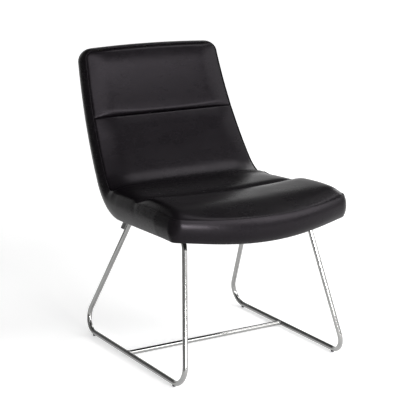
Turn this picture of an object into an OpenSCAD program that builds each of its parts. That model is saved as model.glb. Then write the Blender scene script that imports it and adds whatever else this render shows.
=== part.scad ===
// Lounge chair: a padded one-piece seat and back on a sled base of bent chromed rod.
// Millimetres. +Z is up and the front faces -Y. The origin is on the floor, under the middle of the chair.
// The shell is drawn in its own terms: s runs along the outside of the shell, from under the front edge
// back and up to the top edge, t is the distance inward from that outside face, and x is across.

/* [Sled base] */
// Diameter of the bent steel rod
rod_d = 14; // [12:0.5:16]
// How far each floor runner stands inside the side of the seat
runner_in = 22; // [14:1:30]
// From the floor stretcher forward to the crossing of runner and front leg
front_reach = 317; // [305:1:330]
// From the floor stretcher back to the crossing of runner and rear leg
rear_reach = 279; // [270:1:295]
// Inward lean of each side loop, in degrees
loop_lean = 9.4; // [8:0.1:11]
// Backward rake of the front legs within the loop, in degrees
front_rake = 15.9; // [14:0.1:18]
// Forward rake of the rear legs within the loop, in degrees
rear_rake = 29.2; // [27:0.1:31]
// Bend radius of the rod, on its centre line
rod_bend_r = 44; // [38:1:50]

/* [Glides] */
// Plastic under the runner, between rod and floor
glide_floor = 3; // [2:0.5:5]
// Diameter of a glide's round foot
glide_d = 10; // [8:0.5:13]

/* [Seat fixings] */
// Thickness of the screw plates and bracket flanges
plate_t = 4; // [3:0.5:6]
// Width of a plate across the rod
plate_w = 48; // [44:1:56]
// Length of a plate along the seat
plate_len = 30; // [24:1:36]
// From the start of the shell back to the front screws
front_screw_run = 130; // [120:5:180]
// How far the rear screws stand behind the upper corner of the side loops
rear_screw_back = 9.6; // [8:0.1:12]
// From the middle of a plate out to each of its two screws
screw_out = 16; // [15:0.5:18]
// Diameter of the screws
screw_d = 6; // [5:0.5:7]
// Diameter of a screw's head
screw_head_d = 11; // [10:0.5:12.5]
// Height of a screw's head
screw_head_h = 3.2; // [2.5:0.1:4]
// Outer diameter of a threaded insert's barrel
insert_d = 8.5; // [8:0.25:10]
// Diameter of a threaded insert's flange
insert_flange_d = 18; // [16:0.5:20]
// Thickness of a threaded insert's flange
insert_flange_t = 1.4; // [1:0.1:1.8]

/* [Rear brackets] */
// Thickness of the tab behind each rear leg
tab_t = 5; // [4:0.5:6]
// How far the tab stands back from the leg's centre line
tab_reach = 31; // [26:1:34]
// Height of the tab's lower edge above the runners, up the leaning loop
tab_low = 325; // [318:1:330]
// How far the tab's rear edge leans forward on its way up
tab_lean_run = 24; // [16:1:28]

/* [Shell outline] */
// From the stretcher forward to the start of the shell's underside
shell_reach = 284; // [276:1:290]
// Height of that start above the floor
under_z = 397; // [385:1:410]
// Fall of the seat towards the back, in degrees
seat_pitch = 3.4; // [3:0.1:5]
// Straight run of the underside
seat_run = 326; // [320:1:335]
// Outer radius of the bend from seat to back
crook_r = 172; // [160:1:184]
// Angle of that bend, in degrees
crook_angle = 58; // [54:0.5:61]
// Run of the gently curved back
back_run = 392; // [380:1:405]
// Angle that the back curves through, in degrees
back_angle = 19.5; // [15:0.5:23]
// Width of the seat
seat_w = 552; // [530:2:570]
// Width of the back at the top
top_w = 443; // [420:1:470]
// Run at which the shell starts to narrow
taper_start = 83; // [60:1:120]
// How far the front edge reaches ahead of the start of the underside
nose = 12; // [8:1:16]
// How far the middle of the front edge bows forward
front_bow = 44; // [30:1:50]
// How far the middle of the top edge bows up
top_bow = 7; // [3:0.5:10]
// Corner radius at the front
front_corner_r = 27; // [24:1:36]
// Corner radius at the top
top_corner_r = 36; // [30:1:44]

/* [Upholstery] */
// Height of the side seam at the front edge, measured from the outside face
front_seam_t = 56; // [52:1:62]
// Height of the side seam at the seat's channel
seat_seam_t = 68; // [64:1:72]
// Height of the side seam ahead of the crease
crook_seam_t = 70; // [66:1:74]
// Height of the side seam above the crease
back_seam_t = 54; // [50:1:58]
// Height of the side seam at the top edge
top_seam_t = 52; // [48:1:56]
// How far the front edge's lower line hangs down in the middle
front_drop = 40; // [30:1:46]
// How far the front seam dips in the middle
front_dip = 17; // [8:1:20]
// How far the seat dips in the middle
seat_dip = 8; // [3:0.5:10]
// Run at which the seat's sewn channel lies
seat_channel_run = 214; // [205:1:225]
// How far the middle of that channel bows forward
channel_bow = 8; // [0:0.5:12]
// Run at which seat and back meet
crease_run = 408; // [398:1:420]
// Run at which the back's sewn channel lies
back_channel_run = 680; // [660:1:700]
// Crown of the front seat panel over its seams
front_crown = 16; // [10:0.5:18]
// Crown of the rear seat panel
rear_crown = 11; // [8:0.5:14]
// Crown of the lower back panel
lower_crown = 9; // [6:0.5:12]
// Crown of the upper back panel
upper_crown = 11; // [8:0.5:14]
// Width over which a panel rises from its side seam
side_roll = 56; // [40:1:64]
// Swell of the edge bands past their seams
band_swell = 8; // [6:0.5:10]
// Lean of the front band, forward from bottom to top
band_lean = 8; // [4:0.5:10]
// Padded thickness of the edge bands at their seams
band_t = 3; // [2:0.25:4]
// Thickness of the panels at their seams
panel_edge_t = 4; // [3:0.25:5]
// Thickness of the cover over the outside of the shell
cover_t = 5; // [4:0.25:6]
// Thickness of the moulded plywood
ply_t = 11; // [10:0.5:12]
// From the start of the shell back to the plywood's front edge
ply_front = 40; // [36:1:50]
// How far the plywood stays inside the shell's outline
ply_inset = 16; // [15:0.5:20]

/* [Hidden] */

$fn = 48;
// Gap between two parts that only lie against each other
rest_gap = 0.3;
// Gap between two curved soft layers
skin_gap = 0.4;
// Gap at a welded or coped joint
weld_gap = 0.05;
// Running gap round a screw or an insert
hole_gap = 0.1;
// Clearance of a screw in the plate and in the cover
screw_clear = 0.6;
// Depth left under an insert's flange for the plywood's curve
flange_sink = 0.7;
// Overrun of a cut past the face it opens
cut_over = 1;
// A straight piece of rod runs on into the bends by the lap, and is thinner by the step,
// so that each of its ends lies inside a bend
rod_lap = 0.5;
rod_step = 0.1;

track_w = seat_w - 2 * runner_in;
rod_r = rod_d / 2;
rod_z = rod_r + glide_floor;

// Shell profile: straight underside, tight bend, gently curved back
bend_run = crook_r * crook_angle * PI / 180;
back_r = back_run * 180 / PI / back_angle;
top_run = seat_run + bend_run + back_run;
back_pitch = crook_angle - seat_pitch;
knee = [-shell_reach + seat_run * cos(seat_pitch), under_z - seat_run * sin(seat_pitch)];
crook_c = knee + crook_r * [sin(seat_pitch), cos(seat_pitch)];
hip = crook_c + crook_r * [sin(back_pitch), -cos(back_pitch)];
back_c = hip + back_r * [-sin(back_pitch), cos(back_pitch)];

function heading(s) =
    s <= seat_run ? -seat_pitch
    : s <= seat_run + bend_run ? -seat_pitch + (s - seat_run) / crook_r * 180 / PI
    : back_pitch + (s - seat_run - bend_run) / back_r * 180 / PI;

function outer(s) =
    let (h = heading(s))
    s <= seat_run ? [-shell_reach + s * cos(seat_pitch), under_z - s * sin(seat_pitch)]
    : s <= seat_run + bend_run ? crook_c + crook_r * [sin(h), -cos(h)]
    : back_c + back_r * [sin(h), -cos(h)];

// A place on the shell, before the chair is centred on the origin
function spot(x, s, t) =
    let (h = heading(s), p = outer(s))
    [x, p[0] - t * sin(h), p[1] + t * cos(h)];

function clamp01(v) = min(1, max(0, v));

// Half the shell's width at a run
function half_w(s) =
    seat_w / 2 - (seat_w - top_w) / 2 * clamp01((s - taper_start) / (top_run - taper_start));

function middle(x, s) = 1 - pow(min(1, abs(x) / half_w(s)), 2);

// Runs over which the front bow, the channel's bow, the top bow and the front drop fade out
bow_fade = 190;
channel_fade = 120;
top_fade = 120;
drop_fade = 100;
drop_power = 1.6;
// Drop of the front edge's lower line at the corners, as a share of the drop in the middle
corner_drop_share = 0.14;

// Bowed front and top edges: the run that a point moves to
function bowed(x, s) =
    s - middle(x, s) * (front_bow * pow(clamp01(1 - (s + nose) / bow_fade), 1.5)
                        + channel_bow * clamp01(1 - abs(s - seat_channel_run) / channel_fade)
                        - top_bow * pow(clamp01(1 - (top_run - s) / top_fade), 2));

// Outside face of the cover: it hangs down along the front edge
function low_t(x, s) =
    -front_drop * pow(clamp01(1 - (s + nose) / drop_fade), drop_power)
    * (corner_drop_share + (1 - corner_drop_share) * pow(middle(x, s), 1.4));

// Height of the side seam: rising from the front edge, dropping quickly at the crease
rise_run = 200;
corner_run = 56;
function ease(v) = let (c = clamp01(v)) c * c * (3 - 2 * c);
function side_t(s) =
    seat_seam_t
    - (seat_seam_t - front_seam_t) * pow(clamp01(1 - (s + nose) / rise_run), 2.2)
    + (crook_seam_t - seat_seam_t) * ease((s - seat_channel_run) / rise_run * 2)
    - (crook_seam_t - back_seam_t) * ease((s - crease_run) / corner_run + 0.5)
    + (top_seam_t - back_seam_t) * clamp01((s - crease_run) / (top_run - crease_run));

// The seams dip in the middle of the seat
dip_table = [[0, front_dip], [seat_channel_run, seat_dip], [crease_run, 0]];
function seam_t(x, s) = side_t(s) - lookup(s, dip_table) * middle(x, s);

function skin_spot(x, s, t) = spot(x, bowed(x, s), t);

// Soft rise from an edge: 0 at the edge, 1 past the roll
function roll(d, width) = 1 - pow(1 - clamp01(d / width), 3);

// Insets from the outline: where the bands end, and where what they enclose begins
band_in = band_swell + band_t;
core_in = band_in + skin_gap;

// Half width of the plan at a run, inset from the outline, with its rounded corners
front_arc_s = -nose + front_corner_r;
top_arc_s = top_run - top_corner_r;
function plan_half(s, inset, lean) =
    s < front_arc_s ?
        half_w(front_arc_s) - front_corner_r
        + (front_corner_r - inset)
          * sqrt(max(0, 1 - pow((front_arc_s - s) / (front_corner_r - inset - lean), 2)))
    : s > top_arc_s ?
        half_w(top_arc_s) - top_corner_r
        + (top_corner_r - inset)
          * sqrt(max(0, 1 - pow((s - top_arc_s) / (top_corner_r - inset), 2)))
    : half_w(s) - inset;

// Runs of the rows of a sheet: through the rounded corners, evenly, or closer towards both ends
corner_rows = 4;
function front_rows(inset, lean) =
    [for (k = [0:corner_rows - 1])
        front_arc_s - (front_corner_r - inset - lean) * cos(90 * k / corner_rows)];
function top_rows(inset) =
    [for (k = [1:corner_rows]) top_arc_s + (top_corner_r - inset) * sin(90 * k / corner_rows)];
function even_rows(from, to, n) = [for (k = [0:n]) from + (to - from) * k / n];
function eased_rows(from, to, n) = [for (k = [0:n]) from + (to - from) * (1 - cos(180 * k / n)) / 2];

// Shares of the half width at which the columns of a sheet stand: even, or closer at the sides
function even_shares(n) = [for (k = [0:n]) 2 * k / n - 1];
function eased_shares(n) = [for (k = [0:n]) -cos(180 * k / n)];

// Grid of points over a list of runs and of width shares; face(x, s) gives the height
function sheet(runs, shares, inset, lean, face) =
    [for (s = runs)
        [for (u = shares)
            let (x = u * plan_half(s, inset, lean))
            skin_spot(x, s, face(x, s))]];

// Closed solid between two grids of equal rows and columns, upper seen clockwise from outside
module slab(upper, lower) {
    rows = len(upper);
    cols = len(upper[0]);
    n = rows * cols;
    points = concat([for (r = upper) each r], [for (r = lower) each r]);
    function at(i, j) = i * cols + j;
    function wall(a, b) = [[a, b, b + n], [a, b + n, a + n]];
    faces = concat(
        [for (i = [0:rows - 2], j = [0:cols - 2])
            each [[at(i, j), at(i + 1, j), at(i + 1, j + 1)], [at(i, j), at(i + 1, j + 1), at(i, j + 1)]]],
        [for (i = [0:rows - 2], j = [0:cols - 2])
            each [[n + at(i, j), n + at(i + 1, j + 1), n + at(i + 1, j)],
                  [n + at(i, j), n + at(i, j + 1), n + at(i + 1, j + 1)]]],
        [for (j = [0:cols - 2]) each wall(at(0, j), at(0, j + 1))],
        [for (j = [0:cols - 2]) each wall(at(rows - 1, j + 1), at(rows - 1, j))],
        [for (i = [0:rows - 2]) each wall(at(i + 1, 0), at(i, 0))],
        [for (i = [0:rows - 2]) each wall(at(i, cols - 1), at(i + 1, cols - 1))]);
    polyhedron(points, faces);
}

module centred() translate([0, -mid_y, 0]) children();

// Stands a child on the shell: its z along the thickness, its y along the run
module on_shell(x, s, t) {
    translate(spot(x, s, t))
        rotate([heading(s), 0, 0])
            children();
}

// Colours
chrome = [0.80, 0.81, 0.82];
glide_black = [0.12, 0.12, 0.13];
leather = [0.15, 0.14, 0.15];
leather_low = [0.19, 0.18, 0.19];
birch = [0.80, 0.66, 0.46];
foam_cream = [0.90, 0.87, 0.74];
steel = [0.62, 0.64, 0.66];
felt = [0.10, 0.10, 0.11];

// Side loops. The loop is drawn in its own plane, y along the floor and w up the leaning plane.
rail_drop = plate_t + rest_gap + rod_r;
rail_fall = tan(seat_pitch) / cos(loop_lean);
rail_w0 = (under_z - shell_reach * tan(seat_pitch) - rail_drop / cos(seat_pitch) - rod_z) / cos(loop_lean);
front_top_y = (rail_w0 * tan(front_rake) - front_reach) / (1 + rail_fall * tan(front_rake));
rear_top_y = (rear_reach - rail_w0 * tan(rear_rake)) / (1 - rail_fall * tan(rear_rake));
function rail_w(y) = rail_w0 - rail_fall * y;
loop_corners = [[-front_reach, 0], [rear_reach, 0],
                [rear_top_y, rail_w(rear_top_y)], [front_top_y, rail_w(front_top_y)]];

function direction(a, b) = (b - a) / norm(b - a);
function corner_turn(a, b, c) = acos(direction(a, b) * direction(b, c));
function tangent_len(turn) = rod_bend_r * tan(turn / 2);

module loop_rod(d) {
    n = len(loop_corners);
    for (i = [0:n - 1]) {
        a = loop_corners[(i + n - 1) % n];
        b = loop_corners[i];
        c = loop_corners[(i + 1) % n];
        e = loop_corners[(i + 2) % n];
        into = direction(a, b);
        out = direction(b, c);
        turn = corner_turn(a, b, c);
        next_turn = corner_turn(b, c, e);
        start = b + out * (tangent_len(turn) - rod_lap);
        finish = c - out * (tangent_len(next_turn) - rod_lap);
        centre = b - into * tangent_len(turn) + rod_bend_r * [-into[1], into[0]];
        translate([0, start[0], start[1]])
            rotate([atan2(-out[0], out[1]), 0, 0])
                cylinder(d = d - rod_step, h = norm(finish - start));
        rotate([90, 0, 90])
            translate([centre[0], centre[1], 0])
                rotate([0, 0, atan2(into[1], into[0]) - 90])
                    rotate_extrude(angle = turn)
                        translate([rod_bend_r, 0])
                            circle(d = d);
    }
}

module in_loop_plane(side) {
    translate([side * track_w / 2, 0, rod_z])
        rotate([0, -side * loop_lean, 0])
            children();
}

module side_loop(side) {
    color(chrome) centred() in_loop_plane(side) loop_rod(rod_d);
}
module left_side_loop() side_loop(-1);
module right_side_loop() side_loop(1);

module floor_stretcher() {
    color(chrome) centred() difference() {
        translate([-track_w / 2, 0, rod_z])
            rotate([0, 90, 0])
                cylinder(d = rod_d, h = track_w);
        for (side = [-1, 1])
            translate([side * track_w / 2, rod_d, rod_z])
                rotate([90, 0, 0])
                    cylinder(d = rod_d + 2 * weld_gap, h = 2 * rod_d);
    }
}

// Height and sideways place of the top rails at a run under the seat
function rail_x(s) = track_w / 2 - (spot(0, s, -rail_drop)[2] - rod_z) * tan(loop_lean);

// Cross rails under the seat, at shares of the straight run of the underside
cross_rail_shares = [0.55, 0.9];
module cross_rail(s) {
    reach = rail_x(s);
    color(chrome) centred() difference() {
        on_shell(-reach, s, -rail_drop)
            rotate([0, 90, 0])
                cylinder(d = rod_d, h = 2 * reach);
        for (side = [-1, 1])
            in_loop_plane(side) loop_rod(rod_d + 2 * weld_gap);
    }
}
module front_cross_rail() cross_rail(seat_run * cross_rail_shares[0]);
module rear_cross_rail() cross_rail(seat_run * cross_rail_shares[1]);

// Screw plates and rear brackets, with two screws each
rear_screw_run = shell_reach + rear_top_y + rear_screw_back;
front_screw_x = rail_x(front_screw_run);
rear_screw_x = rail_x(rear_screw_run);
screw_places = [for (side = [-1, 1], out = [-1, 1])
                each [[side * front_screw_x + out * screw_out, front_screw_run],
                      [side * rear_screw_x + out * screw_out, rear_screw_run]]];

module flange(x, s) {
    on_shell(x, s, -rest_gap - plate_t)
        difference() {
            translate([-plate_w / 2, -plate_len / 2, 0])
                cube([plate_w, plate_len, plate_t]);
            for (out = [-1, 1])
                translate([out * screw_out, 0, -cut_over])
                    cylinder(d = screw_d + screw_clear, h = plate_t + 2 * cut_over);
        }
}

module front_plate(side) {
    color(chrome) centred() flange(side * front_screw_x, front_screw_run);
}
module front_left_plate() front_plate(-1);
module front_right_plate() front_plate(1);

// The tab stands in the loop's plane, from the back of the leg up to the flange
module rear_bracket(side) {
    leg_y = rear_reach - tab_low * tan(rear_rake);
    flange_y = spot(0, rear_screw_run, 0)[1];
    flange_w = (spot(0, rear_screw_run, -rest_gap - plate_t / 2)[2] - rod_z) / cos(loop_lean);
    color(chrome) centred() {
        difference() {
            in_loop_plane(side)
                rotate([90, 0, 90])
                    linear_extrude(height = tab_t, center = true)
                        polygon([[leg_y, tab_low], [leg_y + tab_reach, tab_low],
                                 [leg_y + tab_reach - tab_lean_run, flange_w],
                                 [flange_y, flange_w], [leg_y - tab_reach / 2, tab_low + tab_reach / 2]]);
            in_loop_plane(side) loop_rod(rod_d + 2 * weld_gap);
        }
        flange(side * rear_screw_x, rear_screw_run);
    }
}
module rear_left_bracket() rear_bracket(-1);
module rear_right_bracket() rear_bracket(1);

// Glides: a round foot under each end of a runner's straight, hollowed to fit the rod
front_turn = 90 + front_rake;
rear_turn = 90 + rear_rake;

module glide(side, end) {
    y = end < 0 ? tangent_len(front_turn) - front_reach : rear_reach - tangent_len(rear_turn);
    color(glide_black) centred()
        translate([side * track_w / 2, y, 0])
            difference() {
                cylinder(d = glide_d, h = rod_z);
                translate([0, -glide_d, rod_z])
                    rotate([-90, 0, 0])
                        cylinder(d = rod_d + 2 * weld_gap, h = 2 * glide_d);
            }
}
module front_left_glide() glide(-1, -1);
module front_right_glide() glide(1, -1);
module rear_left_glide() glide(-1, 1);
module rear_right_glide() glide(1, 1);

// Layers through the shell, from the outside in
ply_low_t = cover_t + skin_gap;
ply_high_t = ply_low_t + ply_t;
foam_low_t = ply_high_t + skin_gap;
screw_tip_t = ply_high_t - insert_flange_t;

module plate_screws() {
    color(steel) centred()
        for (p = screw_places)
            on_shell(p[0], p[1], -rest_gap - plate_t - weld_gap) {
                cylinder(d = screw_d, h = screw_tip_t + rest_gap + plate_t);
                translate([0, 0, -screw_head_h])
                    cylinder(d = screw_head_d, h = screw_head_h);
            }
}

// Inserts are pressed into the plywood from its upper face
insert_top_t = ply_high_t - flange_sink;
module t_nuts() {
    color(steel) centred()
        for (p = screw_places)
            on_shell(p[0], p[1], ply_low_t + rest_gap)
                difference() {
                    union() {
                        cylinder(d = insert_d, h = insert_top_t - ply_low_t - rest_gap);
                        translate([0, 0, insert_top_t - ply_low_t - rest_gap - insert_flange_t])
                            cylinder(d = insert_flange_d, h = insert_flange_t);
                    }
                    translate([0, 0, -cut_over])
                        cylinder(d = screw_d + 2 * hole_gap, h = ply_t + 2 * cut_over);
                }
}

// Runs of the layers' rows. The bend has rows of its own, close enough for the gaps to hold.
// Rows of one stretch that come closer than row_min to the next stretch are left out.
row_min = 1;
bend_rows_n = 10;
back_rows_n = 7;
bend_rows = even_rows(seat_run, seat_run + bend_run, bend_rows_n);
back_rows = even_rows(seat_run + bend_run, top_arc_s, back_rows_n);
crease_rows_n = 3;
function from_run(rows, s) = [for (r = rows) if (r > s) r];
function to_run(rows, s) = [for (r = rows) if (r < s) r];

core_shares = even_shares(10);
flat_shares = even_shares(4);

// Moulded plywood, with a stepped bore for each insert
ply_runs = concat([ply_front], bend_rows, from_run(back_rows, seat_run + bend_run + row_min),
                  top_rows(ply_inset));
module plywood_shell() {
    color(birch) centred() difference() {
        slab(sheet(ply_runs, flat_shares, ply_inset, 0, function (x, s) ply_high_t),
             sheet(ply_runs, flat_shares, ply_inset, 0, function (x, s) ply_low_t));
        for (p = screw_places) {
            on_shell(p[0], p[1], ply_low_t - cut_over)
                cylinder(d = insert_d + 2 * hole_gap, h = ply_t + 2 * cut_over);
            on_shell(p[0], p[1], insert_top_t - insert_flange_t - hole_gap)
                cylinder(d = insert_flange_d + 2 * hole_gap, h = ply_t);
        }
    }
}

// Foam under the panels, and the roll that fills the front edge ahead of the plywood.
// The foam is drawn down along the crease.
crease_relief = 1.5;
function foam_top(x, s) =
    seam_t(x, s) - panel_edge_t - skin_gap
    - crease_relief * clamp01(1 - abs(s - crease_run) / corner_run);
function foam_front_low(x, s) = low_t(x, s) + cover_t + skin_gap;

foam_front_end = ply_front - skin_gap;
module front_edge_foam() {
    upper = concat(front_rows(core_in, 0), [foam_front_end]);
    lower = concat(front_rows(core_in, band_lean), [foam_front_end]);
    color(foam_cream) centred()
        slab(sheet(upper, core_shares, core_in, 0, function (x, s) foam_top(x, s)),
             sheet(lower, core_shares, core_in, band_lean, function (x, s) foam_front_low(x, s)));
}

// Rows along the seat and the back, closer at the crease
crease_from = crease_run - corner_run / 2;
crease_to = crease_run + corner_run / 2;
seat_rows = concat(to_run(even_rows(ply_front, seat_run, 5), seat_run - row_min),
                   to_run(bend_rows, crease_from - row_min),
                   even_rows(crease_from, crease_run - skin_gap / 2, crease_rows_n));
rear_rows = concat(even_rows(crease_run + skin_gap / 2, crease_to, crease_rows_n),
                   from_run(bend_rows, crease_to + row_min),
                   from_run(back_rows, seat_run + bend_run + row_min));

module foam(runs) {
    color(foam_cream) centred()
        slab(sheet(runs, core_shares, core_in, 0, function (x, s) foam_top(x, s)),
             sheet(runs, core_shares, core_in, 0, function (x, s) foam_low_t));
}
module seat_foam() foam(seat_rows);
module back_foam() foam(concat(rear_rows, top_rows(core_in)));

// Padded leather panels. Each swells from its seams: over side_roll at the sides, and over
// its own rolls at its front and rear ends.
panel_shares = eased_shares(16);
panel_rows_n = 11;

module panel(runs, from, to, crown, from_roll, to_roll) {
    color(leather) centred()
        slab(sheet(runs, panel_shares, core_in, 0,
                   function (x, s) seam_t(x, s)
                       + crown * roll(plan_half(s, core_in, 0) - abs(x), side_roll)
                         * roll(s - from, from_roll) * roll(to - s, to_roll)),
             sheet(runs, panel_shares, core_in, 0, function (x, s) seam_t(x, s) - panel_edge_t));
}

// Rolls at the panels' ends: long over the front edge, short and steep at the channels
nose_roll = 72;
channel_roll = 34;
crease_roll = 26;
top_roll = 34;

module seat_front_panel() {
    start = front_rows(core_in, 0);
    end = seat_channel_run - skin_gap / 2;
    runs = concat(start, eased_rows(front_arc_s, end, panel_rows_n - corner_rows / 2));
    panel(runs, start[0], end, front_crown, nose_roll, channel_roll);
}

module seat_rear_panel() {
    start = seat_channel_run + skin_gap / 2;
    end = crease_run - skin_gap / 2;
    panel(eased_rows(start, end, panel_rows_n), start, end, rear_crown, channel_roll, crease_roll);
}

module back_lower_panel() {
    start = crease_run + skin_gap / 2;
    end = back_channel_run - skin_gap / 2;
    panel(eased_rows(start, end, panel_rows_n), start, end, lower_crown, crease_roll, channel_roll);
}

module back_upper_panel() {
    start = back_channel_run + skin_gap / 2;
    last = top_rows(core_in);
    end = last[len(last) - 1];
    runs = concat(eased_rows(start, top_arc_s, panel_rows_n - corner_rows / 2), last);
    panel(runs, start, end, upper_crown, channel_roll, top_roll);
}

// Edge bands. A band follows the outline as points [x, s, outward x, outward s] and rises
// from the outside cover's edge to the panels' seam, swelling between the two.
function band_bulge(v) = band_swell * pow(abs(2 * v - 1), 2.2);
function band_point(p, v, inset) =
    let (
        ins = inset + band_lean * (1 - v) * max(0, -p[3]),
        x = p[0] - p[2] * inset,
        s = p[1] - p[3] * ins,
        low = low_t(x, s))
    skin_spot(x, s, low + v * (seam_t(x, s) - low));

function arc_points(x, s, r, from, to, n) =
    [for (k = [0:n])
        let (a = from + (to - from) * k / n)
        [x + r * cos(a), s + r * sin(a), cos(a), sin(a)]];
function line_points(from, to, n) = [for (k = [1:n - 1]) from + (to - from) * k / n];

front_c_x = half_w(front_arc_s) - front_corner_r;
top_c_x = half_w(top_arc_s) - top_corner_r;
corner_steps = 6;
band_rows_n = 6;

front_path = concat(
    arc_points(-front_c_x, front_arc_s, front_corner_r, 180, 270, corner_steps),
    line_points([-front_c_x, -nose, 0, -1], [front_c_x, -nose, 0, -1], 12),
    arc_points(front_c_x, front_arc_s, front_corner_r, 270, 360, corner_steps));
top_path = concat(
    arc_points(top_c_x, top_arc_s, top_corner_r, 0, 90, corner_steps),
    line_points([top_c_x, top_run, 0, 1], [-top_c_x, top_run, 0, 1], 6),
    arc_points(-top_c_x, top_arc_s, top_corner_r, 90, 180, corner_steps));

// Centre of the chair's depth: the front band's fullest line, and the rear face of the top edge
function band_reach(path) =
    [for (p = path, k = [0:band_rows_n])
        band_point(p, k / band_rows_n, band_bulge(k / band_rows_n))[1]];
mid_y = (min(band_reach(front_path)) + max(band_reach(top_path))) / 2;

// Rows along a side, from behind the front corner to below the top one
side_runs = concat([front_arc_s], seat_rows, rear_rows);
right_path = [for (s = side_runs) [half_w(s), s, 1, 0]];
left_path = [for (k = [len(side_runs) - 1:-1:0]) [-half_w(side_runs[k]), side_runs[k], -1, 0]];

// Both ends of each band are drawn back by half a gap, so that two bands meet without touching
function shortened(path) =
    let (
        n = len(path),
        first = path[0] + direction(path[0], path[1]) * skin_gap / 2,
        last = path[n - 1] + direction(path[n - 1], path[n - 2]) * skin_gap / 2)
    [for (k = [0:n - 1]) k == 0 ? first : k == n - 1 ? last : path[k]];

module band(path) {
    line = shortened(path);
    color(leather_low) centred()
        slab([for (k = [0:band_rows_n]) let (v = k / band_rows_n)
                 [for (p = line) band_point(p, v, band_bulge(v))]],
             [for (k = [0:band_rows_n]) let (v = k / band_rows_n)
                 [for (p = line) band_point(p, v, band_in)]]);
}
module front_border() band(front_path);
module right_side_border() band(right_path);
module top_border() band(top_path);
module left_side_border() band(left_path);

// Covers over the outside: under the seat, and up the back. Screws pass through holes in both.
// The two meet a little ahead of the bend.
cover_split = seat_run - bend_run / 15;
module cover(runs, shares, lean, tint) {
    color(tint) centred() difference() {
        slab(sheet(runs, shares, core_in, lean,
                   function (x, s) s < ply_front ? low_t(x, s) + cover_t : cover_t),
             sheet(runs, shares, core_in, lean, function (x, s) low_t(x, s)));
        for (p = screw_places)
            on_shell(p[0], p[1], -cut_over)
                cylinder(d = screw_d + 2 * screw_clear, h = cover_t + 2 * cut_over);
    }
}
module seat_underside_cover() {
    cover(concat(front_rows(core_in, band_lean), [ply_front - skin_gap, ply_front],
                 even_rows(ply_front * 3 / 2, drop_fade - nose, 3),
                 [seat_channel_run, cover_split - skin_gap / 2]),
          core_shares, band_lean, felt);
}
module outer_back_cover() {
    cover(concat([cover_split + skin_gap / 2], bend_rows,
                 from_run(back_rows, seat_run + bend_run + row_min), top_rows(core_in)),
          flat_shares, 0, leather_low);
}

left_side_loop();
right_side_loop();
floor_stretcher();
front_cross_rail();
rear_cross_rail();
front_left_plate();
front_right_plate();
rear_left_bracket();
rear_right_bracket();
front_left_glide();
front_right_glide();
rear_left_glide();
rear_right_glide();
plate_screws();
t_nuts();
plywood_shell();
front_edge_foam();
seat_foam();
back_foam();
seat_front_panel();
seat_rear_panel();
back_lower_panel();
back_upper_panel();
front_border();
left_side_border();
right_side_border();
top_border();
seat_underside_cover();
outer_back_cover();
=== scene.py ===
"""Looks of the lounge chair: a padded leather shell on a sled base of bent chromed rod.

Metres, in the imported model's frame. The shell is drawn in its own terms: s runs along the outside
of the shell, from under the front edge back and up to the top edge, t is the distance inward from
that outside face, and x is across.
"""

from math import cos, pi, radians, sin, tan

import bmesh
import bpy
import numpy as np
from bpy.props import FloatProperty, FloatVectorProperty, PointerProperty
from mathutils import Matrix, Vector


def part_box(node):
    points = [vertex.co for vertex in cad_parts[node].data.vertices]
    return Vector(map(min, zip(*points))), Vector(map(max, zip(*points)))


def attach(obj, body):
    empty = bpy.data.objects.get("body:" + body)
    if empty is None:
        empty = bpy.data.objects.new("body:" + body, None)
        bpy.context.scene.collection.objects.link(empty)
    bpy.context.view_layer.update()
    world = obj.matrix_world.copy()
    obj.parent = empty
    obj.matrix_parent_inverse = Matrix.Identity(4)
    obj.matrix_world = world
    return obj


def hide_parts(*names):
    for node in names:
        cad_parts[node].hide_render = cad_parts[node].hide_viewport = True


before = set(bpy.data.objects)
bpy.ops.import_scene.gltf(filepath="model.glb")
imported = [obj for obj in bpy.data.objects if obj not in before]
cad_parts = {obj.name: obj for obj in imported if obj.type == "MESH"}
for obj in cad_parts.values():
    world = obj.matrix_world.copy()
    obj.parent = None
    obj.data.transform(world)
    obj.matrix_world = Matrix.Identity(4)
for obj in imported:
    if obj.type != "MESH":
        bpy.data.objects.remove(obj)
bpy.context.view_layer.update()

bl_info = {
    "name": "Lounge Chair Upholstery",
    "version": (1, 0, 0),
    "blender": (4, 5, 0),
    "location": "View3D > Sidebar > Lounge Chair",
    "description": "Dresses the packed lounge chair: leather panels and bands, chrome, feet and stage",
    "category": "Object",
}


def fields(kind, rows, **options):
    """Properties of one kind, from rows of name, default and description."""
    return {
        name: kind(name=name.replace("_", " ").capitalize(), description=text, default=value, **options)
        for name, value, text in rows
    }


def lengths(*rows):
    """Length properties, in metres."""
    return fields(FloatProperty, rows, unit="LENGTH", precision=4)


def angles(*rows):
    """Angle properties, from rows in degrees."""
    in_radians = [(name, radians(value), text) for name, value, text in rows]
    return fields(FloatProperty, in_radians, unit="ROTATION")


def shares(*rows):
    """Plain numbers."""
    return fields(FloatProperty, rows, precision=3)


def colours(*rows):
    """Colour properties."""
    return fields(FloatVectorProperty, rows, subtype="COLOR", size=3, min=0, max=1)


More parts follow.
